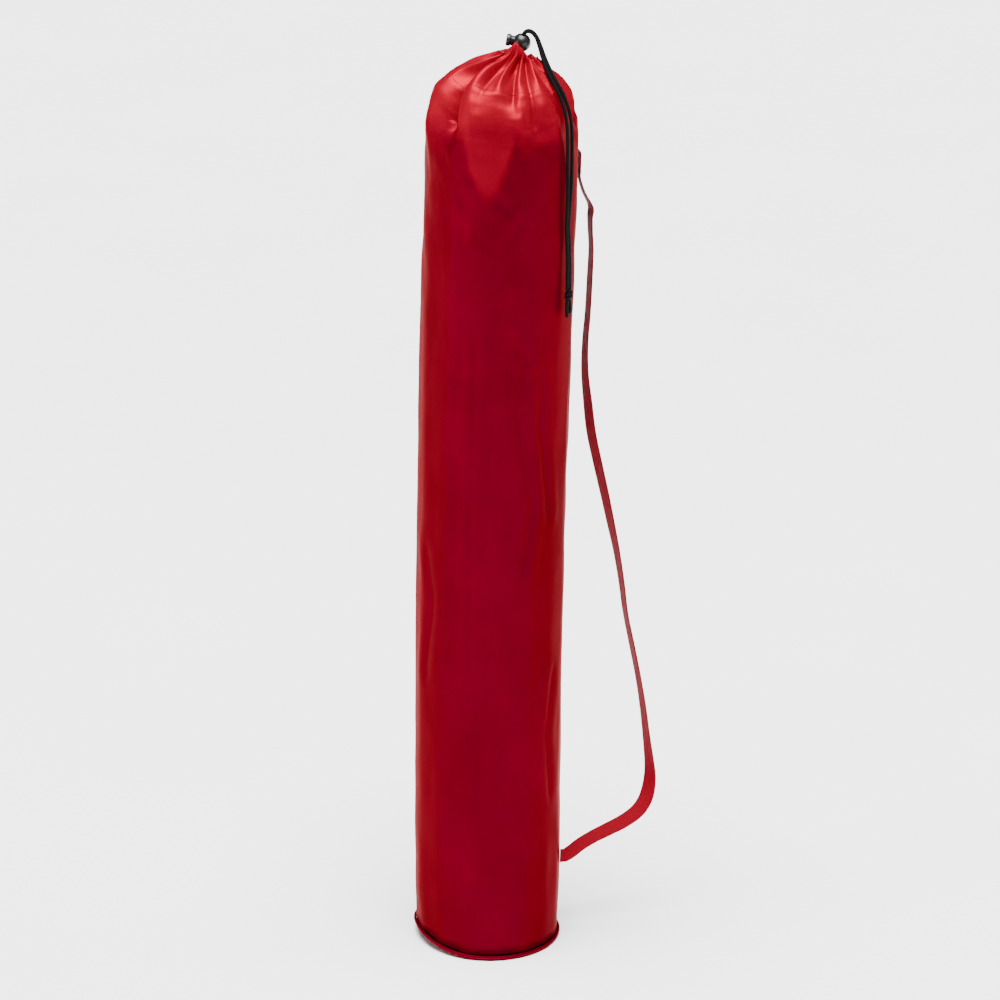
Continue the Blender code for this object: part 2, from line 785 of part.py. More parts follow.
def make_pole_section(number):
    """One outer section: tube, foot plug, spigot with its sprung snap button."""
    angle = math.radians(60 + 120 * (number - 1))
    centre = Vector((math.cos(angle), math.sin(angle), 0)) * POLE_PITCH_R
    tube_low = KIT_FLOOR + PLUG_FLANGE + GAP
    tube_top = tube_low + SECTION_LENGTH
    pole_tube(f"pole_section_{number}", tube_low, SECTION_LENGTH, centre)
    turned(
        f"pole_foot_plug_{number}",
        (
            (0, tube_low + PLUG_INSERT),
            (SPIGOT_R, tube_low + PLUG_INSERT),
            (SPIGOT_R, KIT_FLOOR + PLUG_FLANGE),
            (POLE_R, KIT_FLOOR + PLUG_FLANGE),
            (POLE_R, KIT_FLOOR),
            (0, KIT_FLOOR),
        ),
        20,
        centre=centre,
        material=BLACK_PLASTIC,
    )
    bore = SPIGOT_R - POLE_WALL
    spigot_top = tube_top + SPIGOT_OUT
    spigot = turned(
        f"pole_spigot_{number}",
        (
            (SPIGOT_R, spigot_top),
            (SPIGOT_R, tube_top - SPIGOT_IN),
            (bore, tube_top - SPIGOT_IN),
            (bore, spigot_top),
        ),
        24,
        centre=centre,
        material=ALUMINIUM,
    )
    frame = bpy.data.objects.new(f"snap_frame_{number}", None)
    PARTS.objects.link(frame)
    frame.location = centre + Vector((0, 0, spigot_top - SNAP_BELOW_TOP))
    frame.rotation_euler.z = angle
    hole = rod(
        f"snap_hole_cutter_{number}", SNAP_R + GAP, bore / 2, 2 * POLE_R, "X", 16, CUTTERS, parent=frame
    )
    cut(spigot, hole)
    head = SPIGOT_R + SNAP_PROUD
    flange = bore - 0.8 * MM
    button = turned(
        f"snap_button_{number}",
        (
            (0, head),
            (SNAP_R - 1 * MM, head),
            (SNAP_R, head - 1 * MM),
            (SNAP_R, flange - 2 * MM),
            (0, flange - 2 * MM),
        ),
        16,
        material=GALVANISED,
        parent=frame,
    )
    button.rotation_euler.y = math.radians(90)
    make_leaf_spring(number, frame, flange - 2 * MM - GAP, bore)


def make_leaf_spring(number, frame, button_face, bore):
    """Bent strip whose one leg carries the button and whose other bears on the bore."""
    thick = 0.5 * MM
    leg = 22 * MM
    far = -bore + 1.2 * MM
    bend = 3
    outline = [(button_face, 3 * MM), (button_face, -leg)]
    middle = (button_face + far) / 2
    half = (button_face - far) / 2
    for step in range(1, 2 * bend):
        angle = math.pi * step / (2 * bend)
        outline.append((middle + half * math.cos(angle), -leg - half * math.sin(angle)))
    outline += [(far, -leg), (far, 3 * MM), (far + thick, 3 * MM), (far + thick, -leg)]
    for step in range(1, 2 * bend):
        angle = math.pi * (1 - step / (2 * bend))
        reach = half - thick
        outline.append((middle + reach * math.cos(angle), -leg - reach * math.sin(angle)))
    outline += [(button_face - thick, -leg), (button_face - thick, 3 * MM)]
    curve = bpy.data.curves.new(f"snap_leaf_spring_{number}", "CURVE")
    curve.dimensions = "2D"
    curve.fill_mode = "BOTH"
    curve.extrude = 2 * MM
    spline = curve.splines.new("POLY")
    spline.points.add(len(outline) - 1)
    for target, (x, z) in zip(spline.points, outline):
        target.co = (x, z, 0, 1)
    spline.use_cyclic_u = True
    spring = bpy.data.objects.new(curve.name, curve)
    place(spring, PARTS, SPRING_STEEL, frame)
    spring.rotation_euler.x = math.radians(90)


def make_bundle_straps():
    inside = POLE_PITCH_R + POLE_R + 0.4 * MM
    outside = inside + BUNDLE_STRAP_THICK
    for number, low in enumerate(BUNDLE_STRAP_HEIGHTS, 1):
        high = low + BUNDLE_STRAP_W
        turned(
            f"bundle_strap_{number}",
            ((outside, high), (outside, low), (inside, low), (inside, high)),
            40,
            material=BLACK_CORD,
        )


def make_ground_spike():
    tip = KIT_FLOOR
    shoulder = tip + SPIKE_LENGTH
    turned(
        "ground_spike_rod",
        (
            (0, shoulder + 15 * MM),
            (SPIKE_R - 2 * MM, shoulder + 15 * MM),
            (SPIKE_R - 2 * MM, shoulder),
            (SPIKE_R, shoulder),
            (SPIKE_R, tip + 30 * MM),
            (1 * MM, tip),
            (0, tip),
        ),
        20,
        centre=(SPIKE_X, 0, 0),
        material=GALVANISED,
    )
    low = shoulder + GAP
    bore = SPIKE_R - 2 * MM + GAP
    turned(
        "ground_spike_stub",
        (
            (0, low + SPIKE_STUB),
            (SPIGOT_R - 1 * MM, low + SPIKE_STUB),
            (SPIGOT_R, low + SPIKE_STUB - 1 * MM),
            (SPIGOT_R, low),
            (bore, low),
            (bore, shoulder + 15 * MM + GAP),
            (0, shoulder + 15 * MM + GAP),
        ),
        24,
        centre=(SPIKE_X, 0, 0),
        material=GALVANISED,
    )


make_bag()
make_casing()
make_strap()
make_drawstring_loop()
make_tails()
make_cord_lock()
make_windsock()
make_pole_head()
for section in (1, 2, 3):
    make_pole_section(section)
make_bundle_straps()
make_ground_spike()
bpy.context.view_layer.update()
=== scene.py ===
import json
import math

import bmesh
import bpy
from mathutils import Matrix, Vector, kdtree, noise
from mathutils.bvhtree import BVHTree

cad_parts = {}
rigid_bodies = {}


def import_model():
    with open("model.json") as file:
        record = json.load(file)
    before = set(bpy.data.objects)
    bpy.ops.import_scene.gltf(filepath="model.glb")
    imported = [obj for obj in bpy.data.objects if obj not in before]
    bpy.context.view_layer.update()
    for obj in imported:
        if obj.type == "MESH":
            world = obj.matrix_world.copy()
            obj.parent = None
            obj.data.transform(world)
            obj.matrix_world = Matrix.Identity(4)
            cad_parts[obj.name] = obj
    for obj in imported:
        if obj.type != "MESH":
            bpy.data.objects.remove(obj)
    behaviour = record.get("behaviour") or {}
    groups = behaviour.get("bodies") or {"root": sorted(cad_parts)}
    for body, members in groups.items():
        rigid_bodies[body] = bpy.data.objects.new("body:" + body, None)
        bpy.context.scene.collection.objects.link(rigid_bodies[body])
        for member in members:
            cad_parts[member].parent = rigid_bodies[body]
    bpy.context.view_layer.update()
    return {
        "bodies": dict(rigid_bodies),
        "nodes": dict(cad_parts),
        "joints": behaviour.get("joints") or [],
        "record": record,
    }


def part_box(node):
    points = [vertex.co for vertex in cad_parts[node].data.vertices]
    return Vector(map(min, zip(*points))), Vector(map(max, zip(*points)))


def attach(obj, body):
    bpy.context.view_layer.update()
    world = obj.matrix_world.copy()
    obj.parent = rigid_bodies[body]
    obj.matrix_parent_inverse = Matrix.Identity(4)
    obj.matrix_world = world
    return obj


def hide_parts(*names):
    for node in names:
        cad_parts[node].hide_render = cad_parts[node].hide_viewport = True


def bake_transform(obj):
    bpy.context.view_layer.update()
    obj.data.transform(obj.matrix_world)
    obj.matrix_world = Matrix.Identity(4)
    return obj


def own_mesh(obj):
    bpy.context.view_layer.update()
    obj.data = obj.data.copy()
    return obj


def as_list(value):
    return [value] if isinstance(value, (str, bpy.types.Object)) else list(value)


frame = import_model()
mm = 0.001


def boxOf(node):
    low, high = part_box(node)
    return Vector(low), Vector(high)


viewSetup = {
    "elevation": 20.0,
    "distance": 4.0,
    "lens": 145.9,
    "sensor": 36,
    "aim": (4.8 * mm, 0, 468.6 * mm),
    "roll": 1.16,
}


def linkNew(name, data):
    item = bpy.data.objects.new(name, data)
    bpy.context.collection.objects.link(item)
    return item


def makeCamera(setup):
    data = bpy.data.cameras.new("viewCamera")
    data.lens = setup["lens"]
    data.sensor_width = setup["sensor"]
    camera = linkNew("viewCamera", data)
    rise = math.radians(setup["elevation"])
    back = Vector((0, -math.cos(rise), math.sin(rise))) * setup["distance"]
    tilt = Matrix.Rotation(math.pi / 2 - rise, 4, "X") @ Matrix.Rotation(math.radians(setup["roll"]), 4, "Z")
    camera.matrix_world = Matrix.Translation(Vector(setup["aim"]) + back) @ tilt
    bpy.context.scene.camera = camera


def makeSoftbox(name, place, size, power):
    # a tall light beside the bag, turned to its middle
    data = bpy.data.lights.new(name, "AREA")
    data.shape = "RECTANGLE"
    data.size, data.size_y = size
    data.energy = power
    lamp = linkNew(name, data)
    lamp.location = place
    lamp.rotation_euler = (Vector((0, 0, 450 * mm)) - Vector(place)).to_track_quat("-Z", "Y").to_euler()


def makeSky(name, elevation, azimuth, strength, softness):
    # a wide overhead light, as a studio ceiling of diffusers gives
    data = bpy.data.lights.new(name, "SUN")
    data.energy = strength
    data.angle = math.radians(softness)
    rise, way = math.radians(elevation), math.radians(azimuth)
    toward = Vector((math.cos(rise) * math.cos(way), math.cos(rise) * math.sin(way), math.sin(rise)))
    linkNew(name, data).rotation_euler = toward.to_track_quat("Z", "Y").to_euler()


makeCamera(viewSetup)
makeSky("ceilingDiffuser", 82, -110, 13.5, 40)
makeSoftbox("leftSoftbox", (-2.1, -0.85, 0.75), (0.3, 2.4), 24)
makeSoftbox("rightSoftbox", (2.1, 0.1, 0.9), (0.3, 1.8), 8)

world = bpy.data.worlds.new("studio")
bpy.context.scene.world = world
world.use_nodes = True
world.node_tree.nodes["Background"].inputs["Color"].default_value = (1, 1, 1, 1)
world.node_tree.nodes["Background"].inputs["Strength"].default_value = 0.12
print("camera and lights made")


def hexColour(code):
    # sRGB hex to linear RGBA
    channels = [int(code[i:i + 2], 16) / 255 for i in (0, 2, 4)]
    return (*[c / 12.92 if c <= 0.04045 else ((c + 0.055) / 1.055) ** 2.4 for c in channels], 1)


def addNode(material, kind, inputs=None, **settings):
    # one node with its settings; an input is a value or a socket to link from
    node = material.node_tree.nodes.new("ShaderNode" + kind)
    for name, value in settings.items():
        setattr(node, name, value)
    for name, value in (inputs or {}).items():
        if isinstance(value, bpy.types.NodeSocket):
            material.node_tree.links.new(value, node.inputs[name])
        else:
            node.inputs[name].default_value = value
    return node


def startMaterial(name, **shader):
    material = bpy.data.materials.new(name)
    material.use_nodes = True
    for socket, value in shader.items():
        material.node_tree.nodes["Principled BSDF"].inputs[socket.replace("_", " ")].default_value = value
    return material


def joinTo(material, source, socket):
    material.node_tree.links.new(source, material.node_tree.nodes["Principled BSDF"].inputs[socket])


def rampBetween(material, factor, low, high, start=0.0, end=1.0):
    ramp = addNode(material, "ValToRGB", {"Fac": factor})
    for element, position, colour in zip(ramp.color_ramp.elements, (start, end), (low, high)):
        element.position = position
        element.color = hexColour(colour)
    return ramp.outputs["Color"]


def bands(material, vector, direction, period):
    # a wave texture's band repeats every 0.314 / scale
    return addNode(
        material, "TexWave", {"Vector": vector, "Scale": 0.314 / period},
        wave_type="BANDS", bands_direction=direction, wave_profile="SIN",
    ).outputs["Fac"]


def varyGloss(material, factor, low, high):
    # roughness that changes from place to place
    worn = addNode(material, "MapRange", {"Value": factor, "To Min": low, "To Max": high})
    joinTo(material, worn.outputs["Result"], "Roughness")


def finishSurface(material, colour, height, strength, distance, **under):
    # the colour goes into the shader, and the height as its relief
    joinTo(material, colour, "Base Color")
    relief = addNode(
        material, "Bump", {"Height": height, "Strength": strength, "Distance": distance, **under}
    )
    joinTo(material, relief.outputs["Normal"], "Normal")
    return material


def coatedFabric(name, base, lit, paintedLight, pitch):
    material = startMaterial(
        name, Roughness=0.4, Metallic=0.42, IOR=1.3, Specular_IOR_Level=0.015, Specular_Tint=hexColour("ff4a50"),
    )
    cloth = addNode(material, "UVMap", uv_map="clothUv").outputs["UV"]
    warp, weft = bands(material, cloth, "X", pitch), bands(material, cloth, "Y", pitch)
    weave = addNode(material, "Math", {0: warp, 1: weft}, operation="MULTIPLY").outputs[0]
    cloudy = addNode(
        material, "TexNoise", {"Vector": cloth, "Scale": 14, "Detail": 4, "Roughness": 0.6}
    ).outputs["Fac"]
    # painted light: a point attribute mixes a lighter colour into the gathered top and the dents that face the
    # front, standing in for the overhead light that falls there
    clear = addNode(material, "Attribute", attribute_name="paintedLight").outputs["Fac"]
    packed = rampBetween(material, cloudy, base, lit, 0.3, 0.75)
    clothWithPaintedLight = addNode(material, "Mix", {0: clear, 6: packed, 7: hexColour(paintedLight)}, data_type="RGBA")
    varyGloss(material, cloudy, 0.36, 0.5)
    crinkle = addNode(
        material, "TexNoise", {"Vector": cloth, "Scale": 60, "Detail": 5, "Roughness": 0.55}
    ).outputs["Fac"]
    creased = addNode(material, "Bump", {"Height": crinkle, "Strength": 0.22, "Distance": 0.8 * mm})
    return finishSurface(material, clothWithPaintedLight.outputs[2], weave, 0.25, 0.12 * mm, Normal=creased.outputs["Normal"])


def webbing(name, base, dark, ribPitch):
    # polyester webbing: ribs run across the strap in a fine twill, slightly shiny filament
    material = startMaterial(
        name, Roughness=0.6, IOR=1.3, Specular_IOR_Level=0.12, Specular_Tint=hexColour("ff8a8a"),
    )
    cloth = addNode(material, "UVMap", uv_map="clothUv").outputs["UV"]
    slanted = addNode(
        material, "Mapping", {"Vector": cloth, "Rotation": (0, 0, math.radians(32))}
    ).outputs["Vector"]
    ribs = bands(material, slanted, "Y", ribPitch)
    yarns = bands(material, cloth, "X", ribPitch * 1.6)
    height = addNode(material, "Math", {0: ribs, 1: yarns}, operation="ADD").outputs[0]
    # painted shade: the grooves between the ribs are coloured darker
    return finishSurface(material, rampBetween(material, ribs, dark, base, 0.1, 0.8), height, 0.5, 0.3 * mm)


def braid(name, base, dark, strandPitch):
    # braided polyester cord: two sets of strands cross at a slant round a soft core
    material = startMaterial(name, Roughness=0.7, IOR=1.4, Specular_IOR_Level=0.12)
    cloth = addNode(material, "UVMap", uv_map="clothUv").outputs["UV"]
    strands = []
    for turn in (38, -38):
        slanted = addNode(
            material, "Mapping", {"Vector": cloth, "Rotation": (0, 0, math.radians(turn))}
        ).outputs["Vector"]
        strands.append(bands(material, slanted, "X", strandPitch))
    height = addNode(material, "Math", dict(enumerate(strands)), operation="MAXIMUM").outputs[0]
    # painted shade: the gaps between the strands are coloured darker
    return finishSurface(material, rampBetween(material, height, dark, base, 0.45, 1.0), height, 0.7, 0.4 * mm)


def thread(name, base, dark, plyPitch):
    # twisted polyester thread or line: plies wound round each other, a dull silky surface
    material = startMaterial(name, Roughness=0.65, IOR=1.3, Specular_IOR_Level=0.2)
    place = addNode(material, "TexCoord").outputs["Object"]
    plies = bands(material, place, "DIAGONAL", plyPitch)
    # painted shade: the grooves between the plies are coloured darker
    return finishSurface(material, rampBetween(material, plies, dark, base), plies, 0.5, 0.1 * mm)


def wovenPlain(name, base, dark, pitch):
    # plain woven narrow tape seen on a flat face: ribs up its height, dull filament
    material = startMaterial(name, Roughness=0.65, IOR=1.5, Sheen_Weight=0.15)
    place = addNode(material, "TexCoord").outputs["Object"]
    ribs = bands(material, place, "Z", pitch)
    # painted shade: the grooves between the ribs are coloured darker
    return finishSurface(material, rampBetween(material, ribs, dark, base), ribs, 0.5, 0.2 * mm)


def mouldedPlastic(name, base, lit, roughness, grain):
    # injection moulded nylon or polypropylene: spark-eroded grain, worn a little smoother in patches
    material = startMaterial(name, Roughness=roughness, IOR=1.5)
    place = addNode(material, "TexCoord").outputs["Object"]
    fine, patches = [
        addNode(material, "TexNoise", {"Vector": place, "Scale": scale, "Detail": 3}).outputs["Fac"]
        for scale in (1 / grain, 90)
    ]
    varyGloss(material, patches, roughness - 0.08, roughness + 0.1)
    return finishSurface(material, rampBetween(material, patches, base, lit, 0.35, 0.7), fine, 0.25, 0.08 * mm)


def drawnMetal(name, base, lit, roughness, stretch=(900, 900, 12)):
    # drawn or plated metal: fine lines along its length, small changes of tone and gloss
    material = startMaterial(name, Roughness=roughness, Metallic=1.0)
    place = addNode(material, "TexCoord").outputs["Object"]
    lines = addNode(material, "Mapping", {"Vector": place, "Scale": stretch}).outputs["Vector"]
    streaks, clouds = [
        addNode(
            material, "TexNoise", {"Vector": vector, "Scale": scale, "Detail": detail}
        ).outputs["Fac"]
        for vector, scale, detail in ((lines, 1, 3), (place, 60, 4))
    ]
    varyGloss(material, streaks, roughness - 0.07, roughness + 0.1)
    return finishSurface(material, rampBetween(material, clouds, base, lit, 0.3, 0.7), streaks, 0.15, 0.05 * mm)


def floorPaper(name):
    # matt white background paper
    material = startMaterial(name, Roughness=0.9)
    place = addNode(material, "TexCoord").outputs["Object"]
    mottle = addNode(material, "TexNoise", {"Vector": place, "Scale": 3, "Detail": 2}).outputs["Fac"]
    joinTo(material, rampBetween(material, mottle, "f6f6f6", "ffffff"), "Base Color")
    return material


# the weave is 0.25 mm in the cloth and drawn at 0.9 mm, as fine as shows
# the third colour is painted light: the lighter red of the gathered top and the front dents
bagCloth = coatedFabric("redCoatedTaffeta", "4c000e", "580015", "84091c", 0.9 * mm)
bagWebbing = webbing("redPolyesterWebbing", "8c0a1e", "6c0416", 0.8 * mm)
# the thread is red polyester, lifted to the lighter red of the gathered top's painted light, so part of its
# lightness is painted light
redThread = thread("redPolyesterThread", "86081c", "740616", 0.4 * mm)
blackBraid = braid("blackBraidedPolyester", "070606", "020202", 0.9 * mm)
lockPlastic = mouldedPlastic("blackMouldedNylon", "070707", "0c0c0c", 0.38, 0.5 * mm)
springSteel = drawnMetal("brightSpringSteel", "b0b0b0", "c8c8c8", 0.25)
tubeAluminium = drawnMetal("satinAluminiumTube", "c9cacc", "dcdde0", 0.34)
zincPlate = drawnMetal("zincPlatedSteel", "a8adb2", "c2c6c8", 0.4, (300, 300, 60))
orangeNylon = coatedFabric("orangeRipstopNylon", "f0560c", "ff6a1a", "ff7a2a", 0.9 * mm)
whiteLine = thread("whiteTwistedLine", "f2f2ee", "c8c8c2", 0.6 * mm)
blackTape = wovenPlain("blackHookAndLoopTape", "2a2a2a", "101010", 1.0 * mm)
print("materials made")

floorBuild = bmesh.new()
bmesh.ops.create_grid(floorBuild, x_segments=8, y_segments=8, size=14)
floorMesh = bpy.data.meshes.new("studioFloor")
floorBuild.to_mesh(floorMesh)
floorBuild.free()
floorMesh.materials.append(floorPaper("matWhitePaper"))
linkNew("studioFloor", floorMesh)


def linkPiece(name, bm, material, body=None, smooth=40):
    mesh = bpy.data.meshes.new(name)
    bm.to_mesh(mesh)
    bm.free()
    mesh.materials.append(material)
    mesh.shade_smooth()
    mesh.set_sharp_from_angle(angle=math.radians(smooth))
    piece = linkNew(name, mesh)
    if body:
        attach(piece, body)
    return piece


def finishModifiers(piece):
    # the mesh as its modifiers make it
    graph = bpy.context.evaluated_depsgraph_get()
    mesh = bpy.data.meshes.new_from_object(piece.evaluated_get(graph))
    piece.modifiers.clear()
    piece.data = mesh


def thicken(piece, thickness):
    # the surface becomes a shell that grows inward
    solid = piece.modifiers.new("Solidify", "SOLIDIFY")
    solid.thickness = thickness
    solid.offset = -1
    finishModifiers(piece)


def addRod(bm, sides, radius, length, matrix, topRadius=None):
    bmesh.ops.create_cone(
        bm, cap_ends=True, segments=sides, radius1=radius, radius2=topRadius or radius, depth=length, matrix=matrix,
    )


def smoothRoute(route, spacing):
    # points about spacing apart on a smooth curve through the route's own points
    ends = [route[0] * 2 - route[1], *route, route[-1] * 2 - route[-2]]
    points = []
    for before, start, end, after in zip(ends, ends[1:], ends[2:], ends[3:]):
        pieces = max(1, round((end - start).length / spacing))
        for step in range(pieces):
            t = step / pieces
            points.append(0.5 * (
                start * 2 + (end - before) * t
                + (before * 2 - start * 5 + end * 4 - after) * t ** 2
                + (start * 3 - before - end * 3 + after) * t ** 3
            ))
    points.append(route[-1])
    return points


def routeLength(path):
    return sum((b - a).length for a, b in zip(path, path[1:]))


def wrapGrid(around, along, spot, size, closed=True, capped=False):
    # a flat grid of cloth carried to its place: spot(across share, along share) gives each point
    bm = bmesh.new()
    cloth = bm.loops.layers.uv.new("clothUv")
    bmesh.ops.create_grid(bm, x_segments=around, y_segments=along, size=0.5, calc_uvs=True)
    for face in bm.faces:
        for loop in face.loops:
            loop[cloth].uv = ((loop.vert.co.x + 0.5) * size[0], (loop.vert.co.y + 0.5) * size[1])
    for vert in bm.verts:
        vert.co = spot(vert.co.x + 0.5, vert.co.y + 0.5)
    if closed:
        bmesh.ops.remove_doubles(bm, verts=bm.verts, dist=1e-6)
    if capped:
        bmesh.ops.holes_fill(bm, edges=[edge for edge in bm.edges if edge.is_boundary], sides=0)
    bmesh.ops.recalc_face_normals(bm, faces=bm.faces)
    return bm


def sweepSection(path, section, acrossHints=None, scale=None):
    # a closed section (x, y) carried along the path; hints give the way its x points
    frames = []
    side = None
    for i, point in enumerate(path):
        along = (path[min(i + 1, len(path) - 1)] - path[max(i - 1, 0)]).normalized()
        hint = acrossHints[i] if acrossHints else (side or along.orthogonal())
        side = (hint - along * hint.dot(along)).normalized()
        frames.append((point, side, along.cross(side), scale[i] if scale else 1))
    perimeter = sum((Vector(a) - Vector(b)).length for a, b in zip(section, section[1:] + section[:1]))

    def spot(u, v):
        point, side, other, size = frames[round(v * (len(path) - 1))]
        x, y = section[round(u * len(section)) % len(section)]
        return point + (side * x + other * y) * size

    return wrapGrid(len(section), len(path) - 1, spot, (perimeter, routeLength(path)), capped=True)


def roundSection(radius, sides):
    return [(radius * math.cos(math.tau * i / sides), radius * math.sin(math.tau * i / sides)) for i in range(sides)]


def sweepTube(name, path, radius, sides, material, body, radii=None):
    bm = sweepSection(path, roundSection(radius, sides), scale=radii)
    return linkPiece(name, bm, material, body, 60)


def lerp(a, b, t):
    return a + (b - a) * t


def ease(value, low, high):
    # 0 below low, 1 above high, smooth between them
    t = min(1, max(0, (value - low) / (high - low)))
    return t * t * (3 - 2 * t)


def roundSpot(out, angle, height):
    # a place this far out from the bag's axis
    return Vector((out * math.cos(angle), out * math.sin(angle), height))


def alongTable(table, value):
    # straight between the table's (value, result) pairs
    if value <= table[0][0]:
        return table[0][1]
    for (a, x), (b, y) in zip(table, table[1:]):
        if value <= b:
            return lerp(x, y, (value - a) / (b - a))
    return table[-1][1]


def angleGap(a, b):
    return (a - b + 180) % 360 - 180


cordLock = {
    "radius": 8.83 * mm,
    "tilt": 11.0,
    "centre": Vector((16.542, 9.0, 928.362)) * mm,
    "boreRadius": 5.0 * mm,
    "boreDepth": 6.3 * mm,
}
lockUp = Vector((math.sin(math.radians(cordLock["tilt"])), 0, math.cos(math.radians(cordLock["tilt"]))))
lockOut = Vector((-lockUp.z, 0, lockUp.x))

drawstring = {
    "radius": 1.75 * mm,
    "pitch": 1.9 * mm,
    # x, y, z of the pair in mm, half the distance between the cords, turn of the line that joins them
    "route": (
        (18.6, 9.0, 936.8, 1.90, 0), (20.4, 9.0, 938.9, 1.90, 0), (23.2, 9.0, 939.6, 1.90, 0),
        (26.8, 8.6, 938.3, 1.92, 2), (30.8, 7.0, 933.8, 1.95, 8), (34.2, 3.0, 926.0, 2.05, 18),
        (37.4, -4.0, 918.0, 2.10, 30), (41.0, -13.0, 911.0, 2.15, 42), (45.4, -21.5, 903.8, 2.20, 46),
        (50.6, -29.5, 896.6, 2.20, 48), (55.4, -35.0, 888.6, 2.50, 44), (59.0, -38.4, 879.6, 3.10, 38),
        (61.8, -40.8, 869.6, 3.60, 35), (63.5, -42.8, 857.4, 3.80, 34), (64.2, -44.0, 843.0, 3.80, 34),
        (64.5, -43.8, 828.3, 3.70, 34), (64.9, -43.2, 806.0, 3.20, 34), (64.4, -43.8, 784.2, 2.20, 34),
        (63.8, -44.8, 764.6, 1.95, 34), (64.9, -43.2, 744.5, 1.95, 34), (65.8, -42.1, 724.3, 1.95, 33),
        (66.0, -42.4, 708.0, 1.95, 33), (66.2, -43.2, 700.2, 1.95, 33),
    ),
    "sides": 16,
    # the two ends below the knot
    "tips": (
        ((65.4, -45.3, 689.8), (65.0, -45.7, 684.0), (65.2, -45.4, 678.0), (65.6, -44.8, 673.0)),
        ((67.4, -41.9, 689.8), (68.0, -41.6, 685.0), (68.2, -41.3, 680.0), (67.8, -41.2, 676.0)),
    ),
}


def lockSpot(height, side):
    # place on a cord's straight run through the lock
    return cordLock["centre"] + lockUp * height + Vector((0, side * drawstring["pitch"], 0))


def lockCord(name, path, radius, sides=drawstring["sides"], radii=None):
    return sweepTube(name, path, radius, sides, blackBraid, "cord_lock", radii)


tailPaths = []
for side in (-1, 1):
    route = []
    for x, y, z, spread, turn in drawstring["route"]:
        angle = math.radians(turn)
        route.append((Vector((x, y, z)) + Vector((math.sin(angle), math.cos(angle), 0)) * side * spread) * mm)
    start = [lockSpot(height, side) for height in (0.15 * mm, cordLock["radius"] * 0.3, cordLock["radius"] * 0.6)]
    tailPaths.append(smoothRoute(start + route, 1.5 * mm))

tails = []
for name, path in zip(("drawstringTailA", "drawstringTailB"), tailPaths):
    tails.append(lockCord(name, path, drawstring["radius"]))

tips = []
for name, route in zip(("drawstringTipA", "drawstringTipB"), drawstring["tips"]):
    path = smoothRoute([Vector(p) * mm for p in route], 1.2 * mm)
    flare = [1.0] * (len(path) - 3) + [1.04, 1.1, 0.86]  # heat-sealed end
    tips.append(lockCord(name, path, drawstring["radius"], radii=flare))

# the knot: both cords go round together in one overhand turn
knotLow, knotHigh = boxOf("drawstring_knot")
knotCentre = (knotLow + knotHigh) / 2
knot = {
    "turns": 1.25,
    "steps": 28,
    "sides": 14,
    "lifts": (-1.6, 1.6),    # mm above the knot's middle
    "reach": (2.3, 0.35),    # mm from the knot's axis, and how much it changes
    "coreRadius": 2.5 * mm,
}
knotStrands = []
for number, lift in enumerate(knot["lifts"]):
    turnPoints = []
    for step in range(knot["steps"] + 1):
        share = step / knot["steps"]
        angle = math.tau * knot["turns"] * share + number * 0.5
        reach = knot["reach"][0] + knot["reach"][1] * math.sin(angle * 2)
        height = lift + 2.6 * math.sin(angle + 0.7) * 0.55
        turnPoints.append(
            knotCentre + Vector((reach * math.cos(angle), reach * math.sin(angle) * 0.9, height)) * mm
        )
    knotStrands.append(
        lockCord(f"drawstringKnot{number + 1}", turnPoints, drawstring["radius"] * 0.97, knot["sides"])
    )
core = [knotCentre + Vector((0.3, 0.2, 5.2)) * mm, knotCentre, knotCentre - Vector((0.2, 0.3, 5.2)) * mm]
knotCore = lockCord("drawstringKnotCore", smoothRoute(core, 1.5 * mm), knot["coreRadius"], knot["sides"])
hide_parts("drawstring_knot")
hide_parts("drawstring_end_a")
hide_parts("drawstring_end_b")
for tail, path, node, extra in zip(
    tails, tailPaths, ("drawstring_tail_a", "drawstring_tail_b"),
    ([*knotStrands, knotCore, tips[0]], [tips[1]]),
):
    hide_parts(node)
    tuple(path[0])
    routeLength(path)
    [tuple(p) for p in path]
    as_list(extra)
print("drawstring tails made")

bag = {
    "radius": 74.4 * mm,
    "cloth": 0.35 * mm,
    "columns": 216,
    "footHeight": 5.3 * mm,
    "footTuck": 1.5 * mm,
    "shoulder": 843 * mm,
    "neck": (14.8 * mm, -5 * mm),
    # the gathered top in mm: how far out from the neck, height
    "profile": (
        (74.4, 843), (73.6, 852), (71.3, 862), (66.9, 872), (60.6, 881.5), (53.1, 890), (44.8, 897.8),
        (36.4, 904.5), (29, 909.8), (22.5, 913.8), (18, 916.4), (15.4, 918.4), (14, 921), (12.8, 924.5),
        (11.6, 927.5), (10.6, 929), (9.4, 928.4), (8, 925), (6.6, 919), (5.6, 912),
    ),
    "bow": 3.5 * mm,
}

# flat faces that the poles inside press into the cloth: way it faces, pull in, lean of its edge
faces = (
    (-166, 1.1, 3), (-142, 2.3, -2), (-118, 1.6, 4), (-93, 1.2, -3), (-70, 2.1, 3), (-48, 2.0, -4),
    (-26, 1.0, 2), (-3, 1.6, 2), (24, 1.8, -3), (50, 1.2, 3), (76, 2.2, -2), (103, 1.3, 4), (130, 2.0, -3),
    (152, 1.4, 2), (172, 2.0, -2),
)

# dents above the shoulder: way it faces, height of its lowest tip in mm, lean in degrees
facets = (
    (-99.5, 787, 5.0), (-59, 836, 9), (-20, 806, 6.5), (22, 815, 7), (62, 792, 5), (104, 806, 6.5),
    (146, 800, 6), (-146, 822, 7),
)

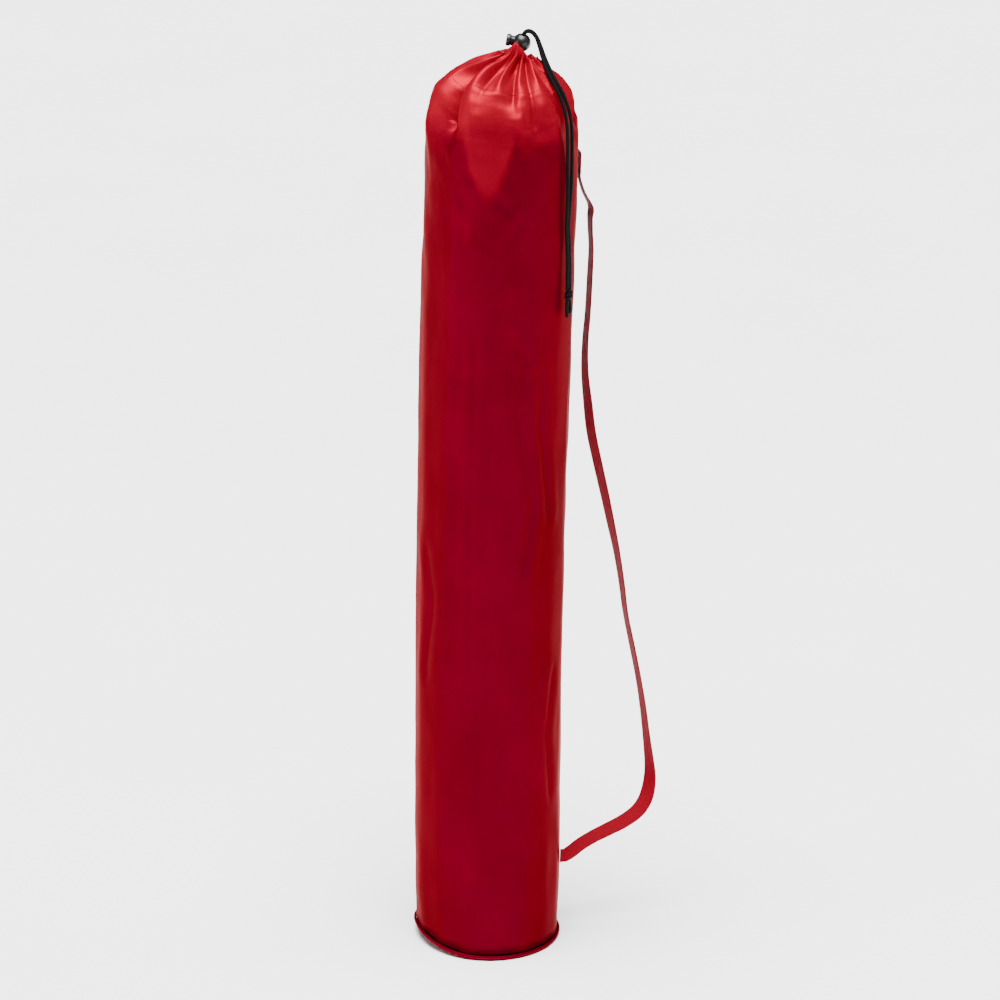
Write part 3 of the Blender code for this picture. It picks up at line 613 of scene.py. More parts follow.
# valleys of the gathered top: way at the shoulder, way at the neck, how far down it runs (0 neck, 1 shoulder),
# depth in mm, width
valleys = (
    (-133, -160, 1.06, 18, 16), (-77, -84, 0.74, 7.0, 10), (-64, -62, 0.98, 6.5, 9), (-37, -34, 0.86, 5.5, 12),
    (-6, -8, 1.0, 7, 12), (30, 26, 0.85, 6, 12), (62, 58, 1.0, 7.5, 13), (97, 92, 0.8, 6, 11),
    (127, 124, 1.02, 8, 12), (158, 156, 0.82, 6, 11), (-168, 176, 0.9, 5, 10), (-107, -118, 0.62, 5, 9),
)

# single creases: points of way and height in mm, depth in mm, width in mm
creases = (
    (((-66, 640), (-73, 585), (-65, 530), (-57, 490), (-64, 420)), 1.5, 7),
    (((-54, 620), (-50, 590), (-52, 570), (-44, 505), (-40, 470)), 1.3, 6),
    (((-105, 655), (-105.5, 480), (-104, 300)), 0.8, 5),
    (((-112, 812), (-96, 800), (-84, 786)), 0.9, 6),
    (((-106, 757), (-93, 744), (-82, 752), (-74, 772)), 0.9, 5),
    (((-119, 642), (-113, 635)), 1.0, 5),
    (((-92, 632), (-80, 634)), 0.9, 5),
    (((-131, 850), (-139, 830), (-128, 806), (-118, 786)), 0.9, 6),
    (((10, 700), (22, 640), (16, 560), (24, 500)), 1.2, 8),
    (((70, 760), (84, 700), (78, 610)), 1.2, 8),
    (((118, 560), (110, 480), (121, 400)), 1.2, 8),
    (((160, 720), (170, 650), (164, 560)), 1.2, 8),
    (((-150, 430), (-140, 380), (-148, 300)), 1.0, 7),
    (((-30, 300), (-38, 240), (-31, 170)), 1.0, 7),
    (((40, 330), (52, 260), (46, 180)), 1.0, 7),
)

seamAngle = 12.0  # the side seam, which holds both ends of the strap


def footLift(way, height):
    # the sewn bottom edge curls up a little on the left and the cloth above it follows, in mm
    side = max(0, math.cos(math.radians(angleGap(way, -172))))
    return 11 * side ** 3 * (1 - ease(height, 2, 75))


profileLengths = [0.0]
for (r0, z0), (r1, z1) in zip(bag["profile"], bag["profile"][1:]):
    profileLengths.append(profileLengths[-1] + math.hypot(r1 - r0, z1 - z0))
gatherLength = profileLengths[-1]
ringLength = profileLengths[11]  # from the shoulder to the ring where the cord gathers the cloth
bodyRows = 96
gatherRows = 74
bodyHeight = bag["shoulder"] / mm - bag["footHeight"] / mm

# how the folds are shaped, in mm and degrees
folds = {
    "flatsEnd": (862, 900),      # heights between which the body's flats give way to the gathered top
    "mouthHoop": 841,            # height of the hoop that holds the sleeve's mouth open
    "wall": 845,                 # height that the faces' lean and the bag's bow are spread over
    "faceCorner": 1.5,           # sharpness of the corners between flats
    "faceInset": 3,
    "faceWander": 2.2,
    "faceReach": 1.0,            # radians to either side that a flat face can cover
    "facetReach": 1.1,           # and that a dent can
    "creaseDepth": 1.5,
    "creaseBulge": 0.8,
    "crinkle": 0.8,
    "fineCrinkle": 0.3,
    "pleats": 17,
    "pleatDepth": 3.6,
    "seamGroove": 0.3,
    "tip": -2.2,                 # the ring of the shoulder tips a little: higher on the left
    "lipWander": 1.6,
    "ballRoom": 9.9,             # cloth stays this far from the ball's centre
    "cordRoom": 2.3,             # and from the two cords below it
    "tailRoom": 2.7,             # and from the hanging tails
}


def profileSpot(share):
    # distance out, height and length travelled along the gathered top's profile
    reach = share * gatherLength
    for i, ((r0, z0), (r1, z1)) in enumerate(zip(bag["profile"], bag["profile"][1:])):
        if reach <= profileLengths[i + 1] or i == len(bag["profile"]) - 2:
            t = (reach - profileLengths[i]) / (profileLengths[i + 1] - profileLengths[i])
            return lerp(r0, r1, t), lerp(z0, z1, t), reach


def facesPull(way, height):
    # distance in from the round wall where the flat faces cut it, in mm
    radius = bag["radius"] / mm
    total = 0.0
    sharp, inset = folds["faceCorner"], folds["faceInset"]
    for facing, pull, lean in faces:
        wander = folds["faceWander"] * noise.noise(Vector((facing * 0.37, height * 0.0045, 1.7)))
        centre = facing + lean * (height / folds["wall"] - 0.5) * 1.6 + wander
        gap = math.radians(angleGap(way, centre))
        if abs(gap) > folds["faceReach"]:
            continue
        deep = pull * (0.75 + 0.5 * noise.noise(Vector((height * 0.004, facing * 0.61, 5.2))))
        reach = (radius - deep) / math.cos(gap)
        total += math.exp(-sharp * (reach - radius + inset))
    total += math.exp(-sharp * inset)
    return min(0.0, -math.log(total) / sharp - inset)


def creasePull(way, height):
    pull = 0.0
    for points, depth, width in creases:
        low = min(p[1] for p in points) - 4 * width
        high = max(p[1] for p in points) + 4 * width
        if not low < height < high:
            continue
        best = 1e9
        for (w0, h0), (w1, h1) in zip(points, points[1:]):
            ax, ay = angleGap(way, w0) * 1.3, height - h0
            bx, by = (w1 - w0) * 1.3, h1 - h0
            t = min(1, max(0, (ax * bx + ay * by) / (bx * bx + by * by)))
            best = min(best, math.hypot(ax - bx * t, ay - by * t))
        pull -= folds["creaseDepth"] * depth * math.exp(-(best / width) * 1.8) * (1 - 0.5 * ease(best, 0, width))
        pull += folds["creaseBulge"] * depth * math.exp(-((best - width * 1.6) / width) ** 2)
    return pull


def facetPull(way, height):
    # leaning flats where the cloth starts to be drawn in to the neck
    radius = bag["radius"] / mm
    pull = 0.0
    for facing, tip, lean in facets:
        if height < tip - 6:
            continue
        gap = math.radians(angleGap(way, facing))
        if abs(gap) > folds["facetReach"]:
            continue
        # the cloth falls in faster above the hoop that holds the sleeve's mouth open
        hoop, end = folds["mouthHoop"], folds["flatsEnd"][0]
        deep = (min(height, hoop) - tip) * math.tan(math.radians(lean)) + max(0, min(height, end) - hoop) * 0.13
        reach = (radius - deep) / math.cos(gap)
        pull = min(pull, reach - radius)
    return pull * (1 - 0.75 * ease(height, *folds["flatsEnd"]))


def softLower(a, b, blendOver):
    # the lower of two numbers with a rounded change from one to the other
    h = min(1, max(0, 0.5 + 0.5 * (b - a) / blendOver))
    return lerp(b, a, h) - blendOver * h * (1 - h)


def valleyPull(way, share):
    # share is 0 at the neck's gathered ring and 1 at the shoulder
    pull = 0.0
    for shoulderWay, neckWay, runs, depth, width in valleys:
        if share > runs:
            continue
        centre = shoulderWay + angleGap(neckWay, shoulderWay) * (1 - share)
        gap = abs(angleGap(way, centre))
        if gap > width * 4:
            continue
        strength = depth * ease(runs - share, 0, 0.32) * (1 - 0.45 * ease(1 - share, 0.75, 1.0))
        notch = math.exp(-gap / width * 1.7)
        bulge = math.exp(-((gap - width * 1.5) / width) ** 2)
        pull += strength * (0.42 * bulge - notch)
    return pull


def roundNoise(way, scale, level):
    # noise that closes on itself round the bag
    return noise.noise(roundSpot(scale, math.radians(way), level))


def pleats(way, share):
    # fine pleats under the drawstring: share 0 at the ring, 1 at the shoulder
    angle = math.radians(way)
    phase = angle * folds["pleats"] + 1.1 * math.sin(angle * 2 + 0.6) + 0.9 * math.sin(angle * 5 + 2)
    wave = math.sin(phase)
    wave = wave * 0.75 + 0.25 * wave * abs(wave)
    size = folds["pleatDepth"] * (1 - ease(share, 0.04, 0.42)) * (0.75 + 0.35 * roundNoise(way, 2.6, 3.1))
    # the cloth is drawn flatter beside the cord's exit
    return wave * size * (1 - 0.6 * math.exp(-(angleGap(way, 45) / 45) ** 2))


# the hem's edge round the neck: way, rise in mm; it stands up in front of the ball and stays down under it
lipTable = (
    (-180, -7), (-165, -5.5), (-140, -1), (-118, 3.6), (-100, 4), (-80, 1), (-55, -4.5), (-30, -11), (-10, -13),
    (60, -13), (100, -12), (140, -9), (180, -7),
)


def lipRise(way):
    return alongTable(lipTable, angleGap(way, 0))


ballCentre = cordLock["centre"] / mm
tailTree = kdtree.KDTree(sum(len(path) for path in tailPaths))
for number, point in enumerate(point for path in tailPaths for point in path):
    tailTree.insert(point / mm, number)
tailTree.balance()


def underTails(spot, outward):
    # cloth that would rise through the hanging cords is pressed in under them
    for near, _, _ in tailTree.find_range(spot, 5.5):
        off = near - spot
        height = off.dot(outward)
        aside = (off - outward * height).length
        if aside < folds["tailRoom"]:
            short = math.sqrt(folds["tailRoom"] ** 2 - aside ** 2) - height
            if short > 0:
                spot = spot - outward * short
    return spot


def bagSpot(u, v):
    way = u * 360 - 180 + seamAngle
    row = v * (bodyRows + gatherRows)
    neckX, neckY = bag["neck"][0] / mm, bag["neck"][1] / mm
    radius = bag["radius"] / mm
    if row <= bodyRows:
        # rows crowd towards the top, where the folds are
        t = row / bodyRows
        height = bag["footHeight"] / mm + bodyHeight * (1 - (1 - t) ** 1.25)
        out, share, ringX, ringY, normalOut, normalUp, level = radius, 1.0, 0, 0, 1, 0, height
    else:
        reach, level, travelled = profileSpot((row - bodyRows) / gatherRows)
        out = reach
        height = level
        share = max(0.0, 1 - travelled / ringLength)
        moved = 1 - (out - 13) / 62 if out > 13 else 1
        moved = max(0, min(1, moved)) ** 1.7
        ringX, ringY = neckX * moved, neckY * moved
        step = 0.012
        before = profileSpot(max(0, (row - bodyRows) / gatherRows - step))
        after = profileSpot(min(1, (row - bodyRows) / gatherRows + step))
        dr, dz = after[0] - before[0], after[1] - before[1]
        size = math.hypot(dr, dz)
        normalOut, normalUp = dz / size, -dr / size
    pull = 0.0
    if row <= bodyRows + 30:
        flats = facesPull(way, height) * (1 - 0.8 * ease(height, 800, 870))
        pull = flats + creasePull(way, height)
        lean = facetPull(way, height)
        if lean < 0:
            pull = softLower(pull, lean, 1.2)
        pull *= 1 - ease(height, *folds["flatsEnd"])
    fine = roundNoise(way, 8, height * 0.09 + 7)
    pull += folds["crinkle"] * roundNoise(way, 3.4, height * 0.022)
    pull += folds["fineCrinkle"] * fine * (0.4 + ease(height, 600, 800))
    if row > bodyRows - 14:
        top = share if row > bodyRows else 1 + (bag["shoulder"] / mm - height) / ringLength
        inner = 1.0
        if row > bodyRows:
            inner = 1 - 0.55 * ease(travelled, profileLengths[12], profileLengths[15])
            front = math.exp(-(angleGap(way, -84) / 34) ** 2)
            inner *= 1 - 0.8 * ease(travelled, profileLengths[10], profileLengths[13]) * front
        pull += (valleyPull(way, top) + pleats(way, top)) * inner
    # the side seam draws the cloth in along a thin line
    pull -= folds["seamGroove"] * math.exp(-abs(angleGap(way, seamAngle)) / 0.9) * (1 - ease(height, 880, 905))
    angle = math.radians(way)
    if row > bodyRows:
        # the raised part of the edge starts to rise lower down
        start = profileLengths[9] if lipRise(way) > -4 else ringLength
        level += lipRise(way) * ease(travelled, start, profileLengths[14])
        out += folds["lipWander"] * math.sin(angle * 4 + 1) * ease(travelled, profileLengths[10], profileLengths[13])
    tip = ease(height, 780, 860) * folds["tip"] * math.cos(angle)
    reach = out + pull * normalOut
    level += pull * normalUp + tip
    x = ringX + reach * math.cos(angle)
    y = ringY + reach * math.sin(angle)
    # the wall turns in to the bottom seam
    low = 1 - ease(height, bag["footHeight"] / mm, 60)
    tuck = bag["footTuck"] / mm * low
    x -= tuck * math.cos(angle)
    y -= tuck * math.sin(angle)
    x -= bag["bow"] / mm * math.sin(math.pi * min(1, height / folds["wall"]))
    level += footLift(way, height)
    spot = Vector((x, y, level))
    if row > bodyRows + 30:
        away = spot - ballCentre
        if away.length < folds["ballRoom"]:
            spot = ballCentre + away.normalized() * folds["ballRoom"]
        if spot.z < 922:
            for side in (-1, 1):
                cordX, cordY = ballCentre.x - 1.2, ballCentre.y + side * 1.9
                off = Vector((spot.x - cordX, spot.y - cordY, 0))
                if off.length < folds["cordRoom"]:
                    spot += off.normalized() * (folds["cordRoom"] - off.length)
    elif height > 690 and -80 < way < 10:
        spot = underTails(spot, Vector((math.cos(angle) * normalOut, math.sin(angle) * normalOut, normalUp)))
    return spot * mm


sheetLength = (bodyHeight + gatherLength) * mm
bm = wrapGrid(bag["columns"], bodyRows + gatherRows, bagSpot, (math.tau * bag["radius"], sheetLength))
bagPiece = linkPiece("bagCloth", bm, bagCloth, "bag", 180)

# painted light: the cloth that stands clear above the imported kit, and the dents that face the front, are painted
# lighter, standing in for the overhead light that falls on them
paintedLight = bagPiece.data.attributes.new("paintedLight", "FLOAT", "POINT")
for vert, value in zip(bagPiece.data.vertices, paintedLight.data):
    height = vert.co.z / mm
    way = math.degrees(math.atan2(vert.co.y, vert.co.x))
    lean = facetPull(way, height)
    flat = 0.12 + 0.33 * math.exp(-(angleGap(way, -88) / 42) ** 4)
    uneven = 0.7 * noise.noise(vert.co * 38) + 0.3 * noise.noise(vert.co * 110)
    value.value = max(ease(height + 14 * uneven, 832, 886), flat * ease(-lean + 0.9 * uneven, 0.0, 2.0))

# the top settles as cloth: slightly larger than its shape, so that it crumples between the hoop and the neck
drape = {
    "frames": 14,
    "pinFrom": 560 * mm,     # cloth below this stays where it is
    "freeFrom": 800 * mm,
    "neckHold": 17 * mm,     # cloth this near the neck's axis is held by the drawstring
    "neckFree": 27 * mm,
    "cap": 3 * mm,
    "evenings": 8,           # passes that even out the moves between neighbouring points
    "keep": 0.4,             # part of its own move that a point keeps in each pass
    "gravity": 0.03,
    "gap": 1.0 * mm,
    "cloth": {
        "quality": 6,
        "mass": 0.12,
        "tension_stiffness": 25,
        "compression_stiffness": 25,
        "shear_stiffness": 12,
        "bending_stiffness": 0.6,
        "vertex_group_mass": "heldCloth",
        "pin_stiffness": 1,
        "shrink_min": -0.012,    # the cloth is longer than its shape by this part
        "air_damping": 4,
    },
}


def makeDrape(piece):
    mesh = piece.data
    before = [vert.co.copy() for vert in mesh.vertices]
    held = piece.vertex_groups.new(name="heldCloth")
    neck = Vector((bag["neck"][0], bag["neck"][1]))
    for vert in mesh.vertices:
        low = 1 - ease(vert.co.z, drape["pinFrom"], drape["freeFrom"])
        near = 0.0
        if vert.co.z > 880 * mm:
            near = 1 - ease((vert.co.xy - neck).length, drape["neckHold"], drape["neckFree"])
        held.add([vert.index], max(low, near), "REPLACE")
    inner = bmesh.new()
    addRod(inner, 64, 70 * mm, 240 * mm, Matrix.Translation((-0.5 * mm, 0, 722 * mm)))
    bmesh.ops.bevel(
        inner, geom=[edge for edge in inner.edges if all(v.co.z > 800 * mm for v in edge.verts)],
        offset=8 * mm, segments=4, profile=0.5, affect="EDGES", material=-1,
    )
    former = linkPiece("packedKitFormer", inner, bagCloth)
    former.modifiers.new("Collision", "COLLISION")
    former.collision.thickness_outer = drape["gap"]
    cloth = piece.modifiers.new("Cloth", "CLOTH")
    for name, value in drape["cloth"].items():
        setattr(cloth.settings, name, value)
    cloth.settings.effector_weights.gravity = drape["gravity"]
    cloth.collision_settings.use_collision = True
    cloth.collision_settings.distance_min = drape["gap"]
    cloth.collision_settings.use_self_collision = False
    cloth.point_cache.frame_start = 1
    cloth.point_cache.frame_end = drape["frames"]
    scene = bpy.context.scene
    for number in range(1, drape["frames"] + 1):
        scene.frame_set(number)
    graph = bpy.context.evaluated_depsgraph_get()
    settled = [vert.co.copy() for vert in piece.evaluated_get(graph).data.vertices]
    piece.modifiers.remove(cloth)
    bpy.data.objects.remove(former)
    scene.frame_set(1)
    moves = [end - start for start, end in zip(before, settled)]
    print("cloth settled by up to", round(max(move.length for move in moves) / mm, 1), "mm")
    moves = [move * min(1, drape["cap"] / max(move.length, 1e-9)) for move in moves]
    beside = [[] for _ in moves]
    for a, b in (edge.vertices for edge in mesh.edges):
        beside[a].append(b)
        beside[b].append(a)
    keep = drape["keep"]
    for _ in range(drape["evenings"]):
        moves = [
            keep * move + (1 - keep) * sum((moves[n] for n in near), Vector()) / len(near)
            for move, near in zip(moves, beside)
        ]
    for vert, start, move in zip(mesh.vertices, before, moves):
        vert.co = start + move
    mesh.update()


makeDrape(bagPiece)
settledCloth = BVHTree.FromPolygons(
    [vert.co.copy() for vert in bagPiece.data.vertices], [tuple(face.vertices) for face in bagPiece.data.polygons]
)
# the side seam's folded edges lie flat inside the cloth
sideSeam = {"half": 5 * mm, "rows": 120, "inset": 0.55 * mm, "thickness": 0.9 * mm}


def seamAllowanceSpot(across, along):
    way = (seamAngle + (across - 0.5) * 2 * math.degrees(sideSeam["half"] / bag["radius"])) % 360
    u = ((way + 180 - seamAngle) % 360) / 360
    v = lerp(0.04, bodyRows / (bodyRows + gatherRows), along)
    place, outward, _, _ = settledCloth.find_nearest(bagSpot(u, v))
    if outward.xy.dot(place.xy) < 0:
        outward = -outward
    return place - outward * sideSeam["inset"]


bm = wrapGrid(6, sideSeam["rows"], seamAllowanceSpot, (2 * sideSeam["half"], bodyHeight * mm), False)
seamPiece = linkPiece("sideSeamAllowance", bm, bagCloth, "bag", 180)
if sum(face.normal.x for face in seamPiece.data.polygons) < 0:
    seamPiece.data.flip_normals()
thicken(seamPiece, sideSeam["thickness"])
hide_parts("side_seam_allowance")

thicken(bagPiece, bag["cloth"])
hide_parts("bag_body", "drawstring_casing")
print("bag cloth made")

bottom = {
    "radius": 72.1 * mm,
    "thickness": 1.2 * mm,
    "seamRadius": 73.35 * mm,
    "seamHalf": (1.25 * mm, 2.5 * mm),
}


def discSpot(u, v):
    way = u * 360 - 180
    out = bottom["radius"] / mm * v
    angle = math.radians(way)
    lift = footLift(way, 3) * ease(v, 0.55, 1.0) + 0.35 * noise.noise(roundSpot(out, angle, 9) * 0.05)
    return roundSpot(out, angle, max(0.05, lift)) * mm


bm = wrapGrid(96, 14, discSpot, (math.tau * bottom["radius"], bottom["radius"]))
for face in bm.faces:
    for loop in face.loops:
        loop[bm.loops.layers.uv["clothUv"]].uv = loop.vert.co.xy
bmesh.ops.reverse_faces(bm, faces=[face for face in bm.faces if face.normal.z > 0])
bagBottom = linkPiece("bagBottomDisc", bm, bagCloth, "bag", 180)
thicken(bagBottom, bottom["thickness"])
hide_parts("bag_bottom")


def seamSpot(u, v):
    way = u * 360 - 180
    angle, turn = math.radians(way), math.tau * v
    pucker = 0.22 * roundNoise(way, 9, 2) + 0.1 * math.sin(way * 0.9)
    halfOut, halfUp = bottom["seamHalf"]
    out = bottom["seamRadius"] / mm + (halfOut / mm + pucker * 0.4) * math.cos(turn)
    level = halfUp / mm + 0.05 + (halfUp / mm - 0.25 + pucker) * math.sin(turn) + footLift(way, 3)
    return roundSpot(out, angle, max(0.05, level)) * mm


bm = wrapGrid(180, 14, seamSpot, (math.tau * bottom["seamRadius"], 8 * mm))
bottomSeam = linkPiece("bottomTurnedSeam", bm, bagCloth, "bag", 180)
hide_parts("bottom_seam_binding")


def stitchRun(name, points, outward, radius, share, node=None):
    # one short thread capsule from each point towards the next
    bm = bmesh.new()
    for (start, end), out in zip(zip(points, points[1:]), outward):
        along = end - start
        centre = start + along / 2 + out * radius * 0.5
        turn = along.to_track_quat("Z", "Y").to_matrix().to_4x4()
        addRod(bm, 6, radius, along.length * share, Matrix.Translation(centre) @ turn)
    piece = linkPiece(name, bm, redThread, "bag", 60)
    if node:
        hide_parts(node)


def hemSpots(row, count):
    points, outs = [], []
    for step in range(count + 1):
        place, normal, _, _ = settledCloth.find_nearest(bagSpot(step / count % 1, row))
        points.append(place)
        outs.append(normal)
    return points, outs


hemRow = (bodyRows + gatherRows * 0.44) / (bodyRows + gatherRows)
points, outs = hemSpots(hemRow, 140)
stitchRun("hemStitching", points, outs, 0.28 * mm, 0.72)
points = [seamSpot(step / 150, 0.02) for step in range(151)]
outs = [Vector((p.x, p.y, 0)).normalized() for p in points]
stitchRun("bottomSeamStitching", points, outs, 0.28 * mm, 0.7)
print("seams made")

ballLock = {
    "segments": (72, 44),
    "holeHalf": (2.25 * mm, 4.1 * mm),
    "flare": 1.42,
    "partingRidge": 0.1 * mm,
    # turned button and stem in mm: out along the button's axis, radius
    "button": (
        (-3.2, 0), (-3.2, 4.4), (-2.8, 4.8), (9.6, 4.8), (10.6, 4.85), (10.75, 5.3), (11.0, 5.65), (11.4, 5.8),
        (14.0, 5.8), (14.55, 5.6), (14.85, 5.1), (14.85, 4.4), (14.55, 4.0), (14.35, 3.2), (14.3, 0),
    ),
}
lockFrame = Matrix((lockOut, Vector((0, -1, 0)), lockUp)).transposed().to_4x4()
lockFrame.translation = cordLock["centre"]


def turnedMesh(profile, steps, frame):
    # a profile of (axis place, radius) in mm spun round the frame's X axis
    bm = bmesh.new()
    verts = [bm.verts.new((x * mm, 0, r * mm)) for x, r in profile]
    edges = [bm.edges.new(pair) for pair in zip(verts, verts[1:])]
    bmesh.ops.spin(
        bm, geom=verts + edges, cent=(0, 0, 0), axis=(1, 0, 0), angle=math.tau, steps=steps, use_merge=True
    )
    bmesh.ops.remove_doubles(bm, verts=bm.verts, dist=1e-6)
    bmesh.ops.recalc_face_normals(bm, faces=bm.faces)
    bmesh.ops.transform(bm, matrix=frame, verts=bm.verts)
    return bm


def cutWith(piece, makers):
    # each maker fills a bmesh with one cutting body
    for maker in makers:
        bm = bmesh.new()
        maker(bm)
        bmesh.ops.recalc_face_normals(bm, faces=bm.faces)
        cutter = linkPiece("cuttingBody", bm, lockPlastic)
        cut = piece.modifiers.new("Boolean", "BOOLEAN")
        cut.operation, cut.solver, cut.object = "DIFFERENCE", "EXACT", cutter
        finishModifiers(piece)
        bpy.data.objects.remove(cutter)
    piece.data.shade_smooth()
    piece.data.set_sharp_from_angle(angle=math.radians(32))


def slotCutter(low, high, lowScale, highScale, centreOut=0, halfOut=None):
    def fill(bm):
        place = Matrix.Translation((centreOut * mm, 0, (low + high) / 2 * mm))
        addRod(bm, 40, lowScale, (high - low) * mm, place, highScale)
        halfU, halfV = halfOut or ballLock["holeHalf"][0], ballLock["holeHalf"][1]
        for vert in bm.verts:
            vert.co.x = centreOut * mm + (vert.co.x - centreOut * mm) * halfU
            vert.co.y *= halfV
        bmesh.ops.transform(bm, matrix=lockFrame, verts=bm.verts)
    return fill


def boreCutter(bm):
    low, high = -cordLock["boreDepth"], 12 * mm
    place = lockFrame @ Matrix.Translation(((low + high) / 2, 0, 0)) @ Matrix.Rotation(math.pi / 2, 4, "Y")
    addRod(bm, 48, cordLock["boreRadius"], high - low, place)


bm = bmesh.new()
bmesh.ops.create_uvsphere(
    bm, u_segments=ballLock["segments"][0], v_segments=ballLock["segments"][1], radius=cordLock["radius"]
)
for vert in bm.verts:
    if abs(vert.co.z) < 0.2 * mm:
        vert.co *= 1 + ballLock["partingRidge"] / cordLock["radius"]  # line where the mould halves met
bmesh.ops.transform(bm, matrix=lockFrame, verts=bm.verts)
ballShell = linkPiece("cordLockBall", bm, lockPlastic, "cord_lock", 32)
cutWith(ballShell, [
    slotCutter(-12, 12, 1, 1), boreCutter,
    slotCutter(5.6, 10, 1, ballLock["flare"]), slotCutter(-10, -5.6, ballLock["flare"], 1),
])
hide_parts("cord_lock_barrel")

bm = turnedMesh(ballLock["button"], 56, lockFrame)
lockButton = linkPiece("cordLockButton", bm, lockPlastic, "cord_lock_button", 32)
cutWith(lockButton, [slotCutter(-8, 8, 1, 1, 1.5, 3.75 * mm)])
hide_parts("cord_lock_plunger")

# the spring behind the button, made at one length; the real one shortens as the button is pressed
spring = {"low": -7.25, "high": -3.55, "reach": 2.5, "wire": 0.25 * mm, "turns": 3}
springPath = []
for step in range(spring["turns"] * 24 + 1):
    share = step / (spring["turns"] * 24)
    angle = math.tau * spring["turns"] * share
    place = lerp(spring["low"], spring["high"], share)
    coil = Vector((place, spring["reach"] * math.cos(angle), spring["reach"] * math.sin(angle)))
    springPath.append(lockFrame @ (coil * mm))
lockSpring = sweepTube("cordLockSpring", springPath, spring["wire"], 8, springSteel, "cord_lock")
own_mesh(lockSpring)
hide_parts("cord_lock_spring")

# the drawstring's ring inside the hem and its two ends up into the lock
ringCentre = Vector((bag["neck"][0], bag["neck"][1], 911.93 * mm))
loopRoute = [lockSpot(-0.15 * mm, 1), lockSpot(-cordLock["radius"] * 0.6, 1)]
loopRoute += [ringCentre + Vector(p) * mm for p in ((0.3, 15.7, 3.4), (2.2, 15.0, 1.4))]
loopRoute += [
    ringCentre + roundSpot(1, math.radians(way), 0) * 14 * mm
    for way in range(66, -247, -13)
]
loopRoute += [ringCentre + Vector(p) * mm for p in ((-2.2, 13.2, 1.4), (-0.3, 12.3, 3.4))]
loopRoute += [lockSpot(-cordLock["radius"] * 0.6, -1), lockSpot(-0.15 * mm, -1)]
loopPath = smoothRoute(loopRoute, 2 * mm)
drawLoop = sweepTube("drawstringLoop", loopPath, drawstring["radius"], 14, blackBraid, None)
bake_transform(drawLoop)
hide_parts("drawstring_loop")
print("cord lock made")

strap = {
    "width": 15 * mm,
    "thickness": 1.2 * mm,
    "boxOut": 75.9 + 0.62,   # mm, the strap's outer face where it is sewn
    "tackOut": 75.0,
    # out from the bag's axis in mm, height, turn of its width from level
    "route": (
        (75.9, 822, 0), (75.9, 808, 0), (76.1, 797, 0), (81.0, 781, 4), (88.6, 766, 10), (88.2, 756, 8),
        (88.9, 741, 6), (90.2, 722, 6), (89.6, 692, 8), (88.6, 658, 8), (86.9, 628, 10), (87.4, 598, 16),
        (91.0, 567, 24), (95.4, 535, 28), (102.4, 504, 28), (110.2, 472, 26), (117.8, 439, 22), (125.0, 407, 16),
        (131.0, 374, 12), (136.0, 341, 10), (143.2, 308, 12), (150.4, 275, 12), (156.6, 242, 14),
        (161.6, 208, 18), (165.8, 178, 28), (167.2, 162, 38), (166.2, 147, 50), (162.6, 133, 62),
        (154.8, 121, 72), (141.0, 111, 80), (124.6, 103, 86), (109.6, 96, 90), (96.0, 88, 90), (87.0, 81, 90),
        (80.4, 77, 90), (75.9, 77, 90),
    ),
}
seamWay = math.radians(seamAngle)
strapOut = roundSpot(1, seamWay, 0)
strapSide = Vector((-math.sin(seamWay), math.cos(seamWay), 0))


def strapCourse(spacing):
    # centre points and the way the width points at each
    knots = smoothRoute([Vector(p) for p in strap["route"]], spacing)
    centres = [(strapOut * p.x + Vector((0, 0, p.y))) * mm for p in knots]
    widths = []
    for i, knot in enumerate(knots):
        along = (centres[min(i + 1, len(knots) - 1)] - centres[max(i - 1, 0)]).normalized()
        normal = strapSide.cross(along)
        turn = math.radians(knot.z)
        widths.append(strapSide * math.cos(turn) + normal * math.sin(turn))
    return centres, widths


strapCentres, strapWidths = strapCourse(4)
flatSection = []
for step in range(28):
    turn = math.tau * step / 28
    c, d = math.cos(turn), math.sin(turn)
    across = strap["width"] / 2 * math.copysign(abs(c) ** 0.45, c)
    flatSection.append((across, strap["thickness"] / 2 * math.copysign(abs(d) ** 0.5, d)))
bm = sweepSection(strapCentres, flatSection, acrossHints=strapWidths)
strapPiece = linkPiece("shoulderStrap", bm, bagWebbing, "bag", 60)
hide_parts("shoulder_strap")
tuple(strapCentres[0])
routeLength(strapCentres)
[tuple(p) for p in strapCentres]


def strapSpot(out, across, height):
    return (strapOut * out + strapSide * across + Vector((0, 0, height))) * mm


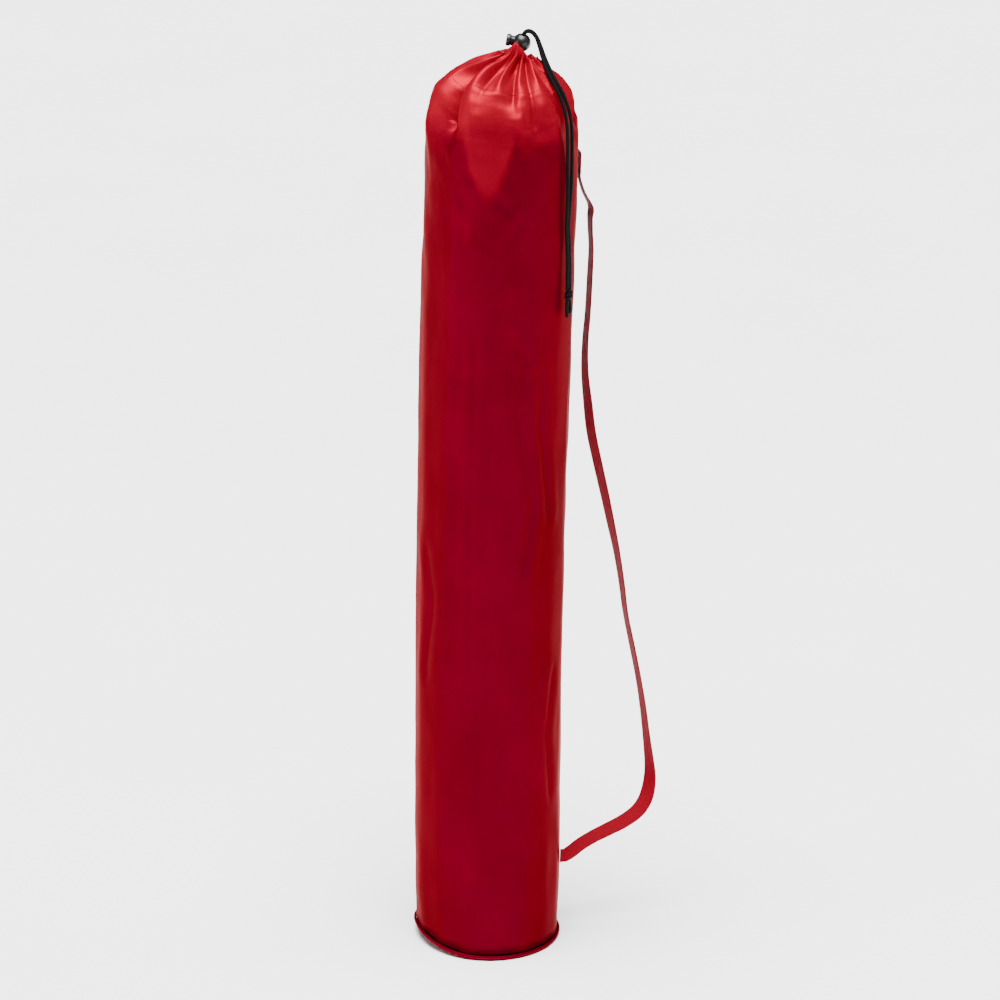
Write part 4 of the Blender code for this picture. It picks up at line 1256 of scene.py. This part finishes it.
boxCorners = ((-6, 800), (6, 800), (6, 820), (-6, 820), (-6, 800), (6, 820), (-6, 820), (6, 800), (-6, 800))
boxRun = []
for (a0, h0), (a1, h1) in zip(boxCorners, boxCorners[1:]):
    count = max(2, round(math.hypot(a1 - a0, h1 - h0) / 2.4))
    boxRun += [strapSpot(strap["boxOut"], lerp(a0, a1, k / count), lerp(h0, h1, k / count)) for k in range(count)]
stitchRun("strapBoxStitching", boxRun, [strapOut] * len(boxRun), 0.3 * mm, 0.78, "strap_top_stitching")
tackRun = []
for step in range(34):
    side = -1.9 if step % 2 else -0.75
    tackRun.append(strapSpot(strap["tackOut"], side, 69 + 16 * step / 33))
stitchRun("strapBarTack", tackRun, [strapOut] * len(tackRun), 0.3 * mm, 0.98, "strap_bottom_bar_tack")
print("strap made")

kit = {
    "sleeveTop": 835.5,
    "sleeveFoot": 14.0,
    "sleeveRadii": (60.5, 66.2),
    "sleeveFlat": (math.tau * 66 * mm, 821 * mm),
    "folds": 13,
}


def sleeveSpot(u, v):
    way = math.tau * u
    height = lerp(kit["sleeveFoot"], kit["sleeveTop"], v)
    out = lerp(*kit["sleeveRadii"], v)
    loose = 1 - ease(v, 0.86, 0.99)
    out -= (2.2 + 2.0 * math.sin(way * kit["folds"] + 1.4 * math.sin(way * 3 + height * 0.004))) * loose
    out -= 1.2 * (1 + noise.noise(roundSpot(3, way, height * 0.02))) * loose
    return roundSpot(out, way, height) * mm


bm = wrapGrid(156, 80, sleeveSpot, kit["sleeveFlat"])
sleevePiece = linkPiece("windsockSleeve", bm, orangeNylon, "windsock", 180)
thicken(sleevePiece, 0.3 * mm)
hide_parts("windsock_sleeve")

nodeFinishes = (
    (tubeAluminium, ("pole_section", "pole_top_section", "pole_spigot")),
    (lockPlastic, ("pole_foot_plug", "pole_head", "windsock_swivel")),
    (springSteel, ("snap_leaf_spring", "snap_button", "windsock_mouth_hoop", "pole_head_nut")),
    (zincPlate, ("ground_spike",)),
    (blackTape, ("bundle_strap",)),
    (whiteLine, ("windsock_bridle",)),
)
for finish, starts in nodeFinishes:
    for name, node in frame["nodes"].items():
        if name.startswith(starts):
            for slot in node.material_slots:
                slot.material = finish
print("kit finished")
